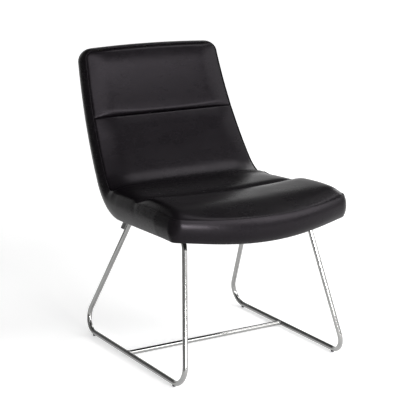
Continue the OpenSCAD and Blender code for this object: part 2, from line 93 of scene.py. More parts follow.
class ShellSizes(bpy.types.PropertyGroup):
    """Outline of the padded shell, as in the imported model."""

    __annotations__ = {
        **lengths(
            ("shell_reach", 0.284, "From the stretcher forward to the start of the underside"),
            ("under_z", 0.397, "Height of that start above the floor"),
            ("seat_run", 0.326, "Straight run of the underside"),
            ("crook_r", 0.172, "Outer radius of the bend from seat to back"),
            ("back_run", 0.392, "Run of the gently curved back"),
            ("seat_w", 0.552, "Width of the seat"),
            ("top_w", 0.443, "Width of the back at the top"),
            ("taper_start", 0.083, "Run at which the shell starts to narrow"),
            ("nose", 0.012, "Reach of the front edge ahead of the underside"),
            ("front_bow", 0.044, "Forward bow of the front edge"),
            ("top_bow", 0.007, "Upward bow of the top edge"),
            ("front_corner_r", 0.027, "Corner radius at the front"),
            ("top_corner_r", 0.036, "Corner radius at the top"),
            ("front_drop", 0.040, "Hang of the front edge's lower line"),
            ("channel_bow", 0.008, "Forward bow of the seat's channel"),
            ("bow_fade", 0.190, "Run over which the front bow fades out"),
            ("channel_fade", 0.120, "Run over which the channel's bow fades out"),
            ("top_fade", 0.120, "Run over which the top bow fades out"),
            ("drop_fade", 0.100, "Run over which the front drop fades out"),
        ),
        **angles(
            ("seat_pitch", 3.4, "Fall of the seat towards the back"),
            ("crook_angle", 58, "Angle of the bend from seat to back"),
            ("back_angle", 19.5, "Angle that the back curves through"),
        ),
        **shares(
            ("drop_power", 1.6, "How quickly the front drop fades"),
            ("corner_drop_share", 0.14, "Front drop at the corners, of the drop in the middle"),
        ),
    }


class PaddingSizes(bpy.types.PropertyGroup):
    """Seams, crowns and thicknesses of the upholstery."""

    __annotations__ = lengths(
        ("front_seam_t", 0.056, "Height of the side seam at the front edge"),
        ("seat_seam_t", 0.068, "Height of the side seam at the seat's channel"),
        ("crook_seam_t", 0.070, "Height of the side seam ahead of the crease"),
        ("back_seam_t", 0.054, "Height of the side seam above the crease"),
        ("top_seam_t", 0.052, "Height of the side seam at the top edge"),
        ("front_dip", 0.017, "Dip of the front seam in the middle"),
        ("seat_dip", 0.008, "Dip of the seat in the middle"),
        ("seat_channel_run", 0.214, "Run of the seat's channel"),
        ("crease_run", 0.408, "Run at which seat and back meet"),
        ("back_channel_run", 0.680, "Run of the back's channel"),
        ("rise_run", 0.200, "Run over which the seam rises from the front"),
        ("corner_run", 0.056, "Run over which the seam drops at the crease"),
        ("front_crown", 0.021, "Crown of the front seat panel"),
        ("rear_crown", 0.011, "Crown of the rear seat panel"),
        ("lower_crown", 0.010, "Crown of the lower back panel"),
        ("upper_crown", 0.012, "Crown of the upper back panel"),
        ("side_roll", 0.056, "Width over which the rear seat panel rises from its side seam"),
        ("front_side_roll", 0.034, "Width over which the front seat panel rises from its side seam"),
        ("wing_roll", 0.066, "Width over which the back panels rise from their side seams"),
        ("nose_roll", 0.105, "Roll over the front edge in the middle"),
        ("nose_side_roll", 0.043, "Roll over the front edge at the sides"),
        ("rear_rise", 0.078, "Run over which the front seat panel rises from its channel"),
        ("channel_roll", 0.034, "Roll into a channel"),
        ("easy_roll", 0.052, "Gentler roll of the lower back panel under its channel"),
        ("hanging_roll", 0.011, "Tighter roll of the upper back panel over its channel"),
        ("tight_roll", 0.006, "Tight start of a firm roll"),
        ("crease_roll", 0.026, "Roll into the crease"),
        ("top_roll", 0.046, "Roll over the top edge"),
        ("overhang", 0.0022, "How far a roll hangs over the seam under it"),
        ("joint_gap", 0.0001, "Gap between two panels at their sewn joint"),
        ("band_swell", 0.008, "Swell of the edge bands"),
        ("band_lean", 0.008, "Lean of the front band"),
        ("band_t", 0.003, "Padded thickness of the bands at their seams"),
        ("panel_edge_t", 0.004, "Thickness of a panel at its seams"),
        ("cover_t", 0.005, "Thickness of the outside cover"),
        ("skin_gap", 0.0004, "Gap between two soft layers"),
        ("ply_t", 0.011, "Thickness of the plywood"),
        ("ply_front", 0.040, "From the start of the shell back to the plywood"),
        ("seam_groove", 0.0013, "Depth of a sewn seam"),
        ("channel_groove", 0.0030, "Depth of a sewn channel"),
        ("seam_roll", 0.0050, "Width over which leather rolls into a seam"),
        ("pucker", 0.00022, "Height of the fine puckers along a seam"),
        ("notch", 0.0030, "Pull of the seat's channel on the side seams"),
        ("back_pillow", 0.0016, "Soft fill of the outside of the back"),
    )


class FrameSizes(bpy.types.PropertyGroup):
    """Sled base, screws and feet."""

    __annotations__ = {
        **lengths(
            ("rod_d", 0.014, "Diameter of the bent rod"),
            ("runner_in", 0.022, "Runner inside the side of the seat"),
            ("glide_floor", 0.003, "Plastic between rod and floor"),
            ("glide_d", 0.010, "Diameter of a foot"),
            ("weld_bead", 0.0017, "Radius of the polished weld fillets"),
            ("screw_head_d", 0.011, "Diameter of a screw's head"),
            ("screw_head_h", 0.0032, "Height of a screw's head"),
            ("screw_d", 0.006, "Diameter of a screw"),
            ("socket_af", 0.004, "Width across flats of a screw's socket"),
        ),
        **angles(("loop_lean", 9.4, "Inward lean of each side loop")),
    }


class FinishColours(bpy.types.PropertyGroup):
    """Colours of the finishes."""

    __annotations__ = colours(
        ("leather", (0.0048, 0.0038, 0.0050), "Dark brown-grey leather"),
        ("leather_worn", (0.0066, 0.0055, 0.0068), "Leather where it is handled"),
        ("leather_deep", (0.0014, 0.0013, 0.0014), "Leather down in its pores"),
        # Chrome is darker than real chrome: painted shade that stands in for dim surroundings in its
        # reflections.
        ("chrome", (0.32, 0.32, 0.315), "Polished chrome plate"),
        ("zinc", (0.58, 0.60, 0.62), "Zinc plate"),
        ("glide", (0.020, 0.020, 0.022), "Moulded plastic of the feet"),
        ("birch", (0.70, 0.50, 0.28), "Birch veneer"),
        ("birch_dark", (0.42, 0.26, 0.13), "Dark lines of the veneer's long grain"),
        ("foam", (0.80, 0.74, 0.52), "Cut foam"),
        ("cloth", (0.012, 0.012, 0.013), "Black dust cloth"),
    )


class StageLook(bpy.types.PropertyGroup):
    """Camera, floor and light."""

    __annotations__ = {
        **angles(
            ("azimuth", -31.1103, "Side from which the camera looks"),
            ("elevation", 13.8728, "How steeply the camera looks down"),
        ),
        **lengths(
            ("floor_size", 30.0, "Side of the floor"),
            # Place of the dark card that paints shade into the chair's reflections.
            ("card_away", 1.05, "Distance of the dark card from the middle of the chair"),
            ("card_high", 2.2, "Height of the dark card"),
        ),
        **fields(FloatProperty, [("lens", 115.48, "Focal length in millimetres")], unit="CAMERA"),
        **shares(
            ("ambient", 0.10, "Strength of the soft surrounding light"),
            ("backdrop", 1.0, "Paleness of the backdrop behind the floor"),
            ("ceiling", 0.08, "Paleness of the studio overhead"),
            ("near_lift", 0.50, "Paleness that the background adds to the floor near the chair"),
            ("far_lift", 0.95, "Paleness that the background adds to the floor far away"),
        ),
        **colours(
            ("floor", (0.80, 0.80, 0.80), "Pale studio floor"),
            # Colours of the dark card: painted shade that only reflections show.
            ("card", (0.30, 0.30, 0.30), "Dark card"),
            ("card_pale", (0.34, 0.34, 0.34), "Paler patches of the dark card"),
        ),
    }


GROUPS = {
    "chair_shell": ShellSizes,
    "chair_padding": PaddingSizes,
    "chair_frame": FrameSizes,
    "chair_colours": FinishColours,
    "chair_stage": StageLook,
}


def settings(name):
    """One group of the scene's sizes or colours."""
    return getattr(bpy.context.scene, name)


def clamp01(v):
    """A value held between 0 and 1."""
    return np.clip(v, 0, 1)


def ease(v):
    """Smooth step from 0 to 1."""
    c = clamp01(v)
    return c * c * (3 - 2 * c)


def roll(d, width):
    """Soft rise from an edge: 0 at the edge, 1 past the roll."""
    return 1 - (1 - clamp01(d / width)) ** 3


# Strength, rate and turn of the waves that make up a ripple.
WAVES = ((1.0, 1.0, 1.0), (0.6, 0.613, 2.1), (0.5, 1.377, 3.7))


def ripple(q, wave, seed):
    """Uneven waves along q, about one per wave length, the same every time."""
    a = 2 * pi * q / wave
    waves = sum(strength * np.sin(rate * a + turn * seed) for strength, rate, turn in WAVES)
    return waves / sum(strength for strength, _, _ in WAVES)


class Shell:
    """Shape of the shell and its padding, from the sizes in the panel."""

    # How sharply the bows, the front drop and the rise of the side seam fade.
    bow_power, top_bow_power, drop_spread_power, rise_power = 1.5, 2, 1.4, 2.2
    # Reach of the pull at the channels' ends, and the back's share of it.
    pull_run, pull_power, back_pull_share = 0.011, 12, 0.5

    def __init__(self):
        for group in ("chair_shell", "chair_padding"):
            for name in GROUPS[group].__annotations__:
                setattr(self, name, getattr(settings(group), name))
        low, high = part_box("floor_stretcher")
        self.mid_y = -(low.y + high.y) / 2
        self.bend_run = self.crook_r * self.crook_angle
        self.back_r = self.back_run / self.back_angle
        self.top_run = self.seat_run + self.bend_run + self.back_run
        self.back_pitch = self.crook_angle - self.seat_pitch
        self.front_arc = self.front_corner_r - self.nose
        self.top_arc = self.top_run - self.top_corner_r
        # Run at which the front and top corners start, their radius and the way they lie.
        front, top = (self.front_arc, self.front_corner_r, -1), (self.top_arc, self.top_corner_r, 1)
        self.corners = (front, top)
        self.band_in = self.band_swell + self.band_t
        self.core_in = self.band_in + self.skin_gap

    def heading(self, s):
        """Angle of the outside face above level at a run."""
        bend_end = self.seat_run + self.bend_run
        on_bend = -self.seat_pitch + (s - self.seat_run) / self.crook_r
        on_back = self.back_pitch + (s - bend_end) / self.back_r
        return np.where(s <= self.seat_run, -self.seat_pitch, np.where(s <= bend_end, on_bend, on_back))

    def outer(self, s):
        """Depth and height of the outside face at a run."""
        h, pitch = self.heading(s), self.seat_pitch
        knee_y = -self.shell_reach + self.seat_run * cos(pitch)
        knee_z = self.under_z - self.seat_run * sin(pitch)
        crook_y = knee_y + self.crook_r * sin(pitch)
        crook_z = knee_z + self.crook_r * cos(pitch)
        grow = self.crook_r - self.back_r
        back_y = crook_y + grow * sin(self.back_pitch)
        back_z = crook_z - grow * cos(self.back_pitch)
        seat = s <= self.seat_run
        bend = s <= self.seat_run + self.bend_run
        y = np.where(bend, crook_y + self.crook_r * np.sin(h), back_y + self.back_r * np.sin(h))
        z = np.where(bend, crook_z - self.crook_r * np.cos(h), back_z - self.back_r * np.cos(h))
        y = np.where(seat, -self.shell_reach + s * cos(pitch), y)
        z = np.where(seat, self.under_z - s * sin(pitch), z)
        return y, z

    def spot(self, x, s, t):
        """Points of the plain shell in the row frame."""
        x, s, t = np.broadcast_arrays(x, s, t)
        h = self.heading(s)
        y, z = self.outer(s)
        return np.stack([x, y - t * np.sin(h) - self.mid_y, z + t * np.cos(h)], -1)

    def half_w(self, s):
        """Half the width at a run, without the rounded corners."""
        narrowing = clamp01((s - self.taper_start) / (self.top_run - self.taper_start))
        return self.seat_w / 2 - (self.seat_w - self.top_w) / 2 * narrowing

    def middle(self, x, s):
        """1 in the middle of the width, 0 at the sides."""
        return 1 - np.minimum(1, np.abs(x) / self.half_w(s)) ** 2

    def bowed(self, x, s):
        """Runs with the bows of the front edge, the seat's channel and the top edge."""
        front = self.front_bow * clamp01(1 - (s + self.nose) / self.bow_fade) ** self.bow_power
        channel = self.channel_bow * clamp01(1 - np.abs(s - self.seat_channel_run) / self.channel_fade)
        top = self.top_bow * clamp01(1 - (self.top_run - s) / self.top_fade) ** self.top_bow_power
        return s - self.middle(x, s) * (front + channel - top)

    def low_t(self, x, s):
        """Height of the outside face, which hangs lower at the front."""
        fade = clamp01(1 - (s + self.nose) / self.drop_fade) ** self.drop_power
        across = self.middle(x, s) ** self.drop_spread_power
        return -self.front_drop * fade * (self.corner_drop_share + (1 - self.corner_drop_share) * across)

    def side_t(self, s):
        """Height of the side seam at a run."""
        channel, crease = self.seat_channel_run, self.crease_run
        return (
            self.seat_seam_t
            - (self.seat_seam_t - self.front_seam_t)
            * clamp01(1 - (s + self.nose) / self.rise_run) ** self.rise_power
            + (self.crook_seam_t - self.seat_seam_t) * ease((s - channel) / (self.rise_run / 2))
            - (self.crook_seam_t - self.back_seam_t) * ease((s - crease) / self.corner_run + 0.5)
            + (self.top_seam_t - self.back_seam_t) * clamp01((s - crease) / (self.top_run - crease))
        )

    def seam_t(self, x, s):
        """Height of the seams, with the channels' ends pulling the side seams down."""
        runs, dips = [0, self.seat_channel_run, self.crease_run], [self.front_dip, self.seat_dip, 0]
        middle, pull = self.middle(x, s), 0
        for run, share in ((self.seat_channel_run, 1.0), (self.back_channel_run, self.back_pull_share)):
            pull = pull + share * np.exp(-(((s - run) / self.pull_run) ** 2))
        notch = self.notch * pull * (1 - middle) ** self.pull_power
        return self.side_t(s) - np.interp(s, runs, dips) * middle - notch

    def skin_spot(self, x, s, t):
        """Points of the bowed shell in the row frame."""
        return self.spot(x, self.bowed(x, s), t)

    def plan_half(self, s, inset, lean=0):
        """Half the width at a run, inset from the outline, with the rounded corners."""
        s = np.asarray(s, float)
        half = self.half_w(s) - inset
        for (arc_run, radius, sign), tighter in zip(self.corners, (lean, 0)):
            reach = radius - inset
            rise = np.sqrt(np.maximum(0, 1 - ((s - arc_run) / (reach - tighter)) ** 2))
            rounded = self.half_w(arc_run) - radius + reach * rise
            half = np.where(sign * (s - arc_run) > 0, rounded, half)
        return half

    def side_distance(self, x, s, lean=0):
        """Distance across to the side of the padded core, corners included."""
        return self.plan_half(s, self.core_in, lean) - np.abs(x)

    def edge_distance(self, x, s, inset):
        """Distance inward from the outline that lies inset from the edge, corners included."""
        side = self.half_w(s) - inset - np.abs(x)
        ends = np.minimum(s + self.nose - inset, self.top_run - inset - s)
        plain = np.minimum(side, ends)
        for arc_run, radius, sign in self.corners:
            out = sign * (s - arc_run)
            over = np.abs(x) - (self.half_w(arc_run) - radius)
            round_d = radius - inset - np.hypot(np.maximum(over, 0), np.maximum(out, 0))
            plain = np.where((out > 0) & (over > 0), np.minimum(plain, round_d), plain)
        return np.maximum(plain, 0)

    def groove(self, d, depth):
        """How far leather sinks at a distance from its seam."""
        return depth * (1 - clamp01(d / self.seam_roll)) ** 2


# Places beside an edge, in millimetres from it, closer together where leather rolls in.
EDGE_STEPS = np.array([0, 0.25, 0.8, 1.8, 3.2, 5.2, 8, 12, 17, 23.5, 32]) / 1000


def spread(start, end, step=0.009):
    """Places from start to end, close together at both."""
    n = max(2, round((end - start - 2 * EDGE_STEPS[-1]) / step))
    middle = np.linspace(start + EDGE_STEPS[-1], end - EDGE_STEPS[-1], n + 1)[1:-1]
    return np.concatenate([start + EDGE_STEPS, middle, (end - EDGE_STEPS)[::-1]])


def columns(half, n):
    """Rows of places across, close together at both sides, for each half width."""
    half = np.asarray(half, float)[:, None]
    inner = half - EDGE_STEPS[-1]
    share = np.linspace(-1, 1, n + 1)[None, 1:-1]
    return np.concatenate([-half + EDGE_STEPS, inner * share, half - EDGE_STEPS[::-1]], 1)


def slab(upper, lower):
    """Points and quads of a closed skin over two grids, the first on the outside."""
    rows, cols = upper.shape[:2]
    n = rows * cols
    at = np.arange(n).reshape(rows, cols)
    top = np.stack([at[:-1, :-1], at[1:, :-1], at[1:, 1:], at[:-1, 1:]], -1).reshape(-1, 4)
    low = top[:, ::-1] + n
    rim = np.concatenate([at[0, :-1], at[:-1, -1], at[-1, :0:-1], at[:0:-1, 0]])
    after = np.roll(rim, -1)
    wall = np.stack([rim, after, after + n, rim + n], -1)
    points = np.concatenate([upper.reshape(-1, 3), lower.reshape(-1, 3)])
    return points, np.concatenate([top, low, wall])


# Distance within which two points are one.
SAME_SPOT = 1e-6


def closed_mesh(name, points, faces, merged=True):
    """A mesh with its faces turned outward and, where asked, its doubled points merged."""
    mesh = bpy.data.meshes.new(name)
    corners = np.asarray(points, float).reshape(-1, 3).tolist()
    mesh.from_pydata(corners, [], [[int(i) for i in face] for face in faces])
    work = bmesh.new()
    work.from_mesh(mesh)
    if merged:
        bmesh.ops.remove_doubles(work, verts=work.verts, dist=SAME_SPOT)
    bmesh.ops.recalc_face_normals(work, faces=work.faces)
    work.to_mesh(mesh)
    work.free()
    return mesh


def linked(name, data):
    """An object of the scene for a mesh, a lamp or a camera."""
    thing = bpy.data.objects.new(name, data)
    bpy.context.scene.collection.objects.link(thing)
    return thing


def new_piece(name, points, faces, material, slot, replaced=(), smooth=True):
    """A mesh object that rides on the chair and takes the place of CAD nodes."""
    mesh = closed_mesh(name, points, faces)
    mesh.polygons.foreach_set("use_smooth", [smooth] * len(mesh.polygons))
    mesh.materials.append(material)
    piece = linked(name, mesh)
    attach(piece, "root")
    if replaced:
        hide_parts(*replaced)
    return piece


def slab_piece(name, upper, lower, material, slot, replaced, fill=None, levels=1):
    """A closed soft piece between two grids, subdivided by its levels. Its fill is not used."""
    piece = new_piece(name, *slab(upper, lower), material, slot, replaced)
    if levels:
        smooth = piece.modifiers.new("Smooth skin", "SUBSURF")
        smooth.levels = smooth.render_levels = levels
    return piece


def sampled(field, rows, cols):
    """A field on an even grid, read at shares of its rows and columns, with soft blending."""
    high, wide = field.shape[0] - 1, field.shape[1] - 1
    r, c = clamp01(rows) * high, clamp01(cols) * wide
    r0 = np.minimum(r.astype(int), high - 1)
    c0 = np.minimum(c.astype(int), wide - 1)
    fr, fc = (r - r0)[..., None], (c - c0)[..., None]
    near = field[r0, c0] * (1 - fc) + field[r0, c0 + 1] * fc
    far = field[r0 + 1, c0] * (1 - fc) + field[r0 + 1, c0 + 1] * fc
    return near * (1 - fr) + far * fr


STUFFING = {
    "quality": 6,
    "mass": 0.4,
    "tension_stiffness": 12,
    "compression_stiffness": 12,
    "shear_stiffness": 6,
    "bending_stiffness": 0.6,
    "vertex_group_mass": "seams",
    "use_pressure": True,
    "uniform_pressure_force": 4.0,
}
CLOTH_FRAMES = 20
CLOTH_STEP = 0.0075
CLOTH_ROWS = 12
CLOTH_COLUMNS = 66
CALMING_PASSES, CALMING_SHARE = 10, 0.5
TINY = 1e-9


def inflate(upper, lower, cap):
    """Pressure in a closed cloth pad, held along its seams. Returns how far its top moved."""
    scene, (rows, cols) = bpy.context.scene, upper.shape[:2]
    pad = linked("stuffing", closed_mesh("stuffing", *slab(upper, lower), merged=False))
    held = np.ones((2, rows, cols), bool)
    held[0, 1:-1, 1:-1] = False
    seams = pad.vertex_groups.new(name=STUFFING["vertex_group_mass"])
    seams.add(np.flatnonzero(held).tolist(), 1.0, "REPLACE")
    cloth = pad.modifiers.new("Cloth", "CLOTH")
    for name, value in STUFFING.items():
        setattr(cloth.settings, name, value)
    cloth.settings.effector_weights.gravity = 0
    cloth.collision_settings.use_collision = False
    cloth.point_cache.frame_start, cloth.point_cache.frame_end = 1, CLOTH_FRAMES
    for number in range(1, CLOTH_FRAMES + 1):
        scene.frame_set(number)
    shown = pad.evaluated_get(bpy.context.evaluated_depsgraph_get())
    moved = np.zeros(2 * upper.size)
    shown.data.vertices.foreach_get("co", moved)
    moved = moved.reshape(2, rows, cols, 3)[0] - upper
    scene.frame_set(1)
    mesh = pad.data
    bpy.data.objects.remove(pad)
    bpy.data.meshes.remove(mesh)
    far = np.linalg.norm(moved, axis=-1, keepdims=True)
    moved = moved * np.minimum(1, cap / np.maximum(far, TINY))
    for _ in range(CALMING_PASSES):
        beside = moved[:-2, 1:-1] + moved[2:, 1:-1] + moved[1:-1, :-2] + moved[1:-1, 2:]
        kept = (1 - CALMING_SHARE) * moved[1:-1, 1:-1]
        moved[1:-1, 1:-1] = kept + CALMING_SHARE / 4 * beside
    return moved


def even(width):
    """A soft roll of one width all along a seam."""
    return lambda d, x, s: roll(d, width)


def gentle(width):
    """A slope of one width all along a seam, flatter than a roll."""
    return lambda d, x, s: 1 - (1 - clamp01(d / width)) ** 2


def firm(tight, width, share):
    """A tight roll at the seam for a share of the rise, and a gentle slope for the rest."""
    return lambda d, x, s: share * roll(d, tight) + (1 - share) * gentle(width)(d, x, s)


def puff(shell, x, s, ends, rolls):
    """Share of a panel's crown at a point: 0 at its seams, 1 past its rolls."""
    edge = shell.side_distance(x, s)
    return rolls[0](s - ends[0], x, s) * rolls[1](ends[1] - s, x, s) * rolls[2](edge, x, s)


# Puckers: where they start, their wave lengths and reach, and the calmer side seams near the top.
PUCKER_START, SIDE_SHIFT = 0.002, 0.3
PUCKER_WAVE, PUCKER_REACH, PUCKER_SEED = 0.0105, 0.012, 1.7
CHANNEL_WAVE, CHANNEL_REACH, CHANNEL_GAIN = 0.0135, 0.014, 1.3
CHANNEL_SEEDS = (0.6, 2.9)
CALM_SHARE, CALM_START, CALM_RUN = 0.55, 0.09, 0.06


def puckers(shell, away, along, reach, wave, seed):
    """Fine folds that start at a seam and die out away from it."""
    return shell.pucker * np.exp(-away / reach) * clamp01(away / PUCKER_START) * ripple(along, wave, seed)


def panel_heights(shell, x, s, ends, crown, rolls, joins):
    """Height of a panel's top: its crown, less the roll into every seam, with fine puckers."""
    both = zip(joins, (s - ends[0], ends[1] - s), CHANNEL_SEEDS)
    joints = [(away, seed) for joined, away, seed in both if joined]
    edge = shell.side_distance(x, s)
    calm = 1 - CALM_SHARE * ease((s - shell.top_run + CALM_START) / CALM_RUN)
    sink = shell.groove(shell.edge_distance(x, s, shell.core_in), shell.seam_groove) * calm
    for away, _ in joints:
        sink = np.maximum(sink, shell.groove(away, shell.channel_groove))
    t = shell.seam_t(x, s) + crown * puff(shell, x, s, ends, rolls) - sink
    t = t + puckers(shell, edge, s + SIDE_SHIFT * np.sign(x), PUCKER_REACH, PUCKER_WAVE, PUCKER_SEED)
    for away, seed in joints:
        t = t + CHANNEL_GAIN * puckers(shell, away, x, CHANNEL_REACH, CHANNEL_WAVE, seed)
    return t


HANG_RUN, HANG_START_SHARE = 0.016, 0.35


def hang(shell, s, start):
    """Runs of a panel's top that hangs over the seam at its start."""
    d = (s - start) / HANG_RUN
    return s - shell.overhang * clamp01(d / HANG_START_SHARE) ** 0.5 * np.exp(-(d**2))


PANEL_COLUMNS = 40
PANEL_FILL, BAND_FILL, COVER_FILL, FOAM_FILL = 0.8, 0.7, 0.3, 0.9
# The crown that a panel has before its stuffing lifts it, and the most that the stuffing adds.
START_SHARE, SWELL_SHARE = 0.96, 0.10


def swell(shell, ends, crown, rolls):
    """How far the stuffing lifts a panel's top, on an even grid of places."""
    s = np.linspace(*ends, max(CLOTH_ROWS, round((ends[1] - ends[0]) / CLOTH_STEP)))[:, None]
    x = shell.plan_half(s, shell.core_in) * np.linspace(-1, 1, CLOTH_COLUMNS)[None, :]
    seam = shell.seam_t(x, s)
    top = shell.skin_spot(x, s, seam + START_SHARE * crown * puff(shell, x, s, ends, rolls))
    low = shell.skin_spot(x, s, seam - shell.panel_edge_t)
    return inflate(top, low, SWELL_SHARE * crown)


def leather_panel(name, node, ends, crown, rolls, joins, hanging=False):
    """A padded panel with its crown, its rolled seams and the swell of its stuffing."""
    shell, (start, end) = Shell(), ends
    s = spread(start, end)[:, None]
    half = shell.plan_half(s, shell.core_in)
    x = columns(half[:, 0], PANEL_COLUMNS)
    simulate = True
    start_crown = START_SHARE * crown if simulate else crown
    heights = panel_heights(shell, x, s, ends, start_crown, rolls, joins)
    top = shell.skin_spot(x, hang(shell, s, start) if hanging else s, heights)
    low = shell.skin_spot(x, s, shell.seam_t(x, s) - shell.panel_edge_t + 0 * x)
    if simulate:
        moved = swell(shell, ends, crown, rolls)
        top = top + sampled(moved, (s - start) / (end - start) + 0 * x, (x / half + 1) / 2)
    return slab_piece(name, top, low, leather_finish(), "leather", [node], fill=PANEL_FILL)


CORNER_STEPS, BAND_COLUMNS, BAND_POWER = 9, 15, 2.2
# How far a band's edge curls past its seam and inward, in three steps.
CURL = np.array([0.0, 0.0009, 0.0022])
CURL_IN = np.array([0.0013, 0.0022, 0.0028])
CRIMP_SHARE, CRIMP_SEED = 0.16, 0.4
END_STEPS = (0.00004, 0.00012, 0.0004, 0.0013)


def arc(x, s, r, start, end):
    """Places round a corner, from one angle in degrees to another."""
    a = np.radians(np.linspace(start, end, CORNER_STEPS + 1))
    return np.stack([x + r * np.cos(a), s + r * np.sin(a), np.cos(a), np.sin(a)], -1)


def straight(start, end, step=0.008):
    """Places between the ends of a straight stretch."""
    start, end = np.array(start, float), np.array(end, float)
    n = max(2, round(float(np.linalg.norm((end - start)[:2])) / step))
    return start + (end - start) * np.linspace(0, 1, n + 1)[1:-1, None]


def end_path(shell, run, corner, turn):
    """Outline of the front or top band: a corner, a straight stretch and a corner."""
    arc_run, radius, way = corner
    x = way * (float(shell.half_w(arc_run)) - radius)
    first = arc(x, arc_run, radius, turn, turn + 90)
    middle = straight([x, run, 0, way], [-x, run, 0, way])
    return np.concatenate([first, middle, arc(-x, arc_run, radius, turn + 90, turn + 180)])


def band_paths(shell, step=0.006):
    """Outline of the four edge bands as places: x, s and the outward direction."""
    front, top = shell.corners
    runs = np.linspace(shell.front_arc, shell.top_arc, round((shell.top_arc - shell.front_arc) / step))
    half = shell.half_w(runs)
    return {
        "front": end_path(shell, -shell.nose, front, 180),
        "right": np.stack([half, runs, 1 + 0 * runs, 0 * runs], -1),
        "top": end_path(shell, shell.top_run, top, 0),
        "left": np.stack([-half, runs, -1 + 0 * runs, 0 * runs], -1)[::-1],
    }


def tight_ends(path):
    """The same path with close places at both ends, so that the joint there stays square."""
    ends = []
    for end, near in ((0, 1), (-1, -2)):
        step = (path[near] - path[end]) / np.linalg.norm((path[near] - path[end])[:2])
        ends.append([path[end] + step * away for away in END_STEPS])
    return np.array(ends[0] + list(path[1:-1]) + ends[1][::-1])


def band_grids(shell, path):
    """Outer and inner faces of a band: it swells between its seams and rolls into them."""
    swollen = shell.band_swell
    v = (1 - np.cos(np.linspace(0, pi, BAND_COLUMNS))) / 2
    bulge = swollen * np.abs(2 * v - 1) ** BAND_POWER
    share = np.concatenate([0 * CURL, v, 0 * CURL + 1])[:, None]
    extra = np.concatenate([CURL[::-1], 0 * v, -CURL])[:, None]
    inset = np.concatenate([swollen + CURL_IN[::-1], bulge, swollen + CURL_IN])[:, None]
    x0, s0, nx, ns = (path[None, :, k] for k in range(4))

    def face(inset):
        lean = inset + shell.band_lean * (1 - share) * np.maximum(0, -ns)
        x, s = x0 - nx * inset, s0 - ns * lean
        low = shell.low_t(x, s)
        return x, s, low + share * (shell.seam_t(x, s) - low) + extra

    x, s, t = face(inset)
    along = np.cumsum(np.r_[0, np.linalg.norm(np.diff(path[:, :2], axis=0), axis=1)])[None, :]
    fading = np.exp(-(1 - share) / CRIMP_SHARE) * (inset < swollen + SAME_SPOT)
    crimp = shell.pucker * fading * ripple(along, PUCKER_WAVE, CRIMP_SEED)
    outside = shell.skin_spot(x + nx * crimp, s + ns * crimp, t)
    return outside, shell.skin_spot(*face(shell.band_in + 0 * inset))


def leather_band(name, node, side):
    """One of the four leather bands round the edge of the shell."""
    shell = Shell()
    outside, inside = band_grids(shell, tight_ends(band_paths(shell)[side]))
    return slab_piece(name, outside, inside, leather_finish(), "leather", [node], fill=BAND_FILL)


class Nodes:
    """Shorthand for building a node tree."""

    def __init__(self, tree):
        self.nodes, self.links = tree.nodes, tree.links

    def add(self, kind, **inputs):
        """A node, with its sockets or settings given by name."""
        node = self.nodes.new(kind)
        for name, value in inputs.items():
            socket = name.replace("_", " ")
            if socket in node.inputs:
                self.feed(node.inputs[socket], value)
            else:
                setattr(node, name, value)
        return node

    def feed(self, socket, value):
        """Links another socket to a socket, or sets its value."""
        if isinstance(value, bpy.types.NodeSocket):
            self.links.new(value, socket)
        else:
            socket.default_value = value

    def noise(self, vector, scale, detail=2.0, rough=0.5):
        node = self.add("ShaderNodeTexNoise", Vector=vector, Scale=scale, Detail=detail, Roughness=rough)
        return node.outputs["Fac"]

    def math(self, kind, a, b=0.0, clamp=False):
        node = self.nodes.new("ShaderNodeMath")
        node.operation, node.use_clamp = kind, clamp
        self.feed(node.inputs[0], a)
        self.feed(node.inputs[1], b)
        return node.outputs[0]

    def remap(self, value, low, high, to_low=0.0, to_high=1.0):
        node = self.add("ShaderNodeMapRange", Value=value)
        for name, number in zip(("From Min", "From Max", "To Min", "To Max"), (low, high, to_low, to_high)):
            self.feed(node.inputs[name], number)
        return node.outputs[0]

    def spread(self, mask, low, high):
        """A mask from 0 to 1, as a value from low to high."""
        return self.remap(mask, 0.0, 1.0, low, high)

    def mix(self, share, a, b):
        """A blend of two colours."""
        node = self.nodes.new("ShaderNodeMix")
        node.data_type = "RGBA"
        for name, value in (("Factor", share), ("A", rgba(a)), ("B", rgba(b))):
            self.feed(node.inputs[name], value)
        return node.outputs["Result"]

    def bump(self, height, strength, depth, normal=None):
        node = self.add("ShaderNodeBump", Strength=strength, Distance=depth, Height=height)
        if normal is not None:
            self.feed(node.inputs["Normal"], normal)
        return node.outputs["Normal"]

    def place(self):
        return self.nodes.new("ShaderNodeTexCoord").outputs["Object"]

    def stretched(self, vector, scale):
        return self.add("ShaderNodeMapping", Vector=vector, Scale=scale).outputs["Vector"]

    def seen(self):
        """1 for rays from the camera, mirrors and glass, 0 for light that falls on the chair."""
        path = self.nodes.new("ShaderNodeLightPath").outputs
        seen = self.math("MAXIMUM", path["Is Camera Ray"], path["Is Glossy Ray"])
        return self.math("MAXIMUM", seen, path["Is Transmission Ray"])

    def group(self, tree, **inputs):
        """A node group with its own values. Returns its outputs."""
        node = self.nodes.new("ShaderNodeGroup")
        node.node_tree = tree
        for name, value in inputs.items():
            self.feed(node.inputs[name], value)
        return node.outputs


def rgba(colour):
    """A colour with full alpha, or a colour socket as it is."""
    return colour if isinstance(colour, bpy.types.NodeSocket) else (*colour, 1.0)


def scaled(colour, factor):
    """A colour, darker or paler by a factor."""
    return tuple(factor * c for c in colour)


FLOAT, VECTOR = "NodeSocketFloat", "NodeSocketVector"


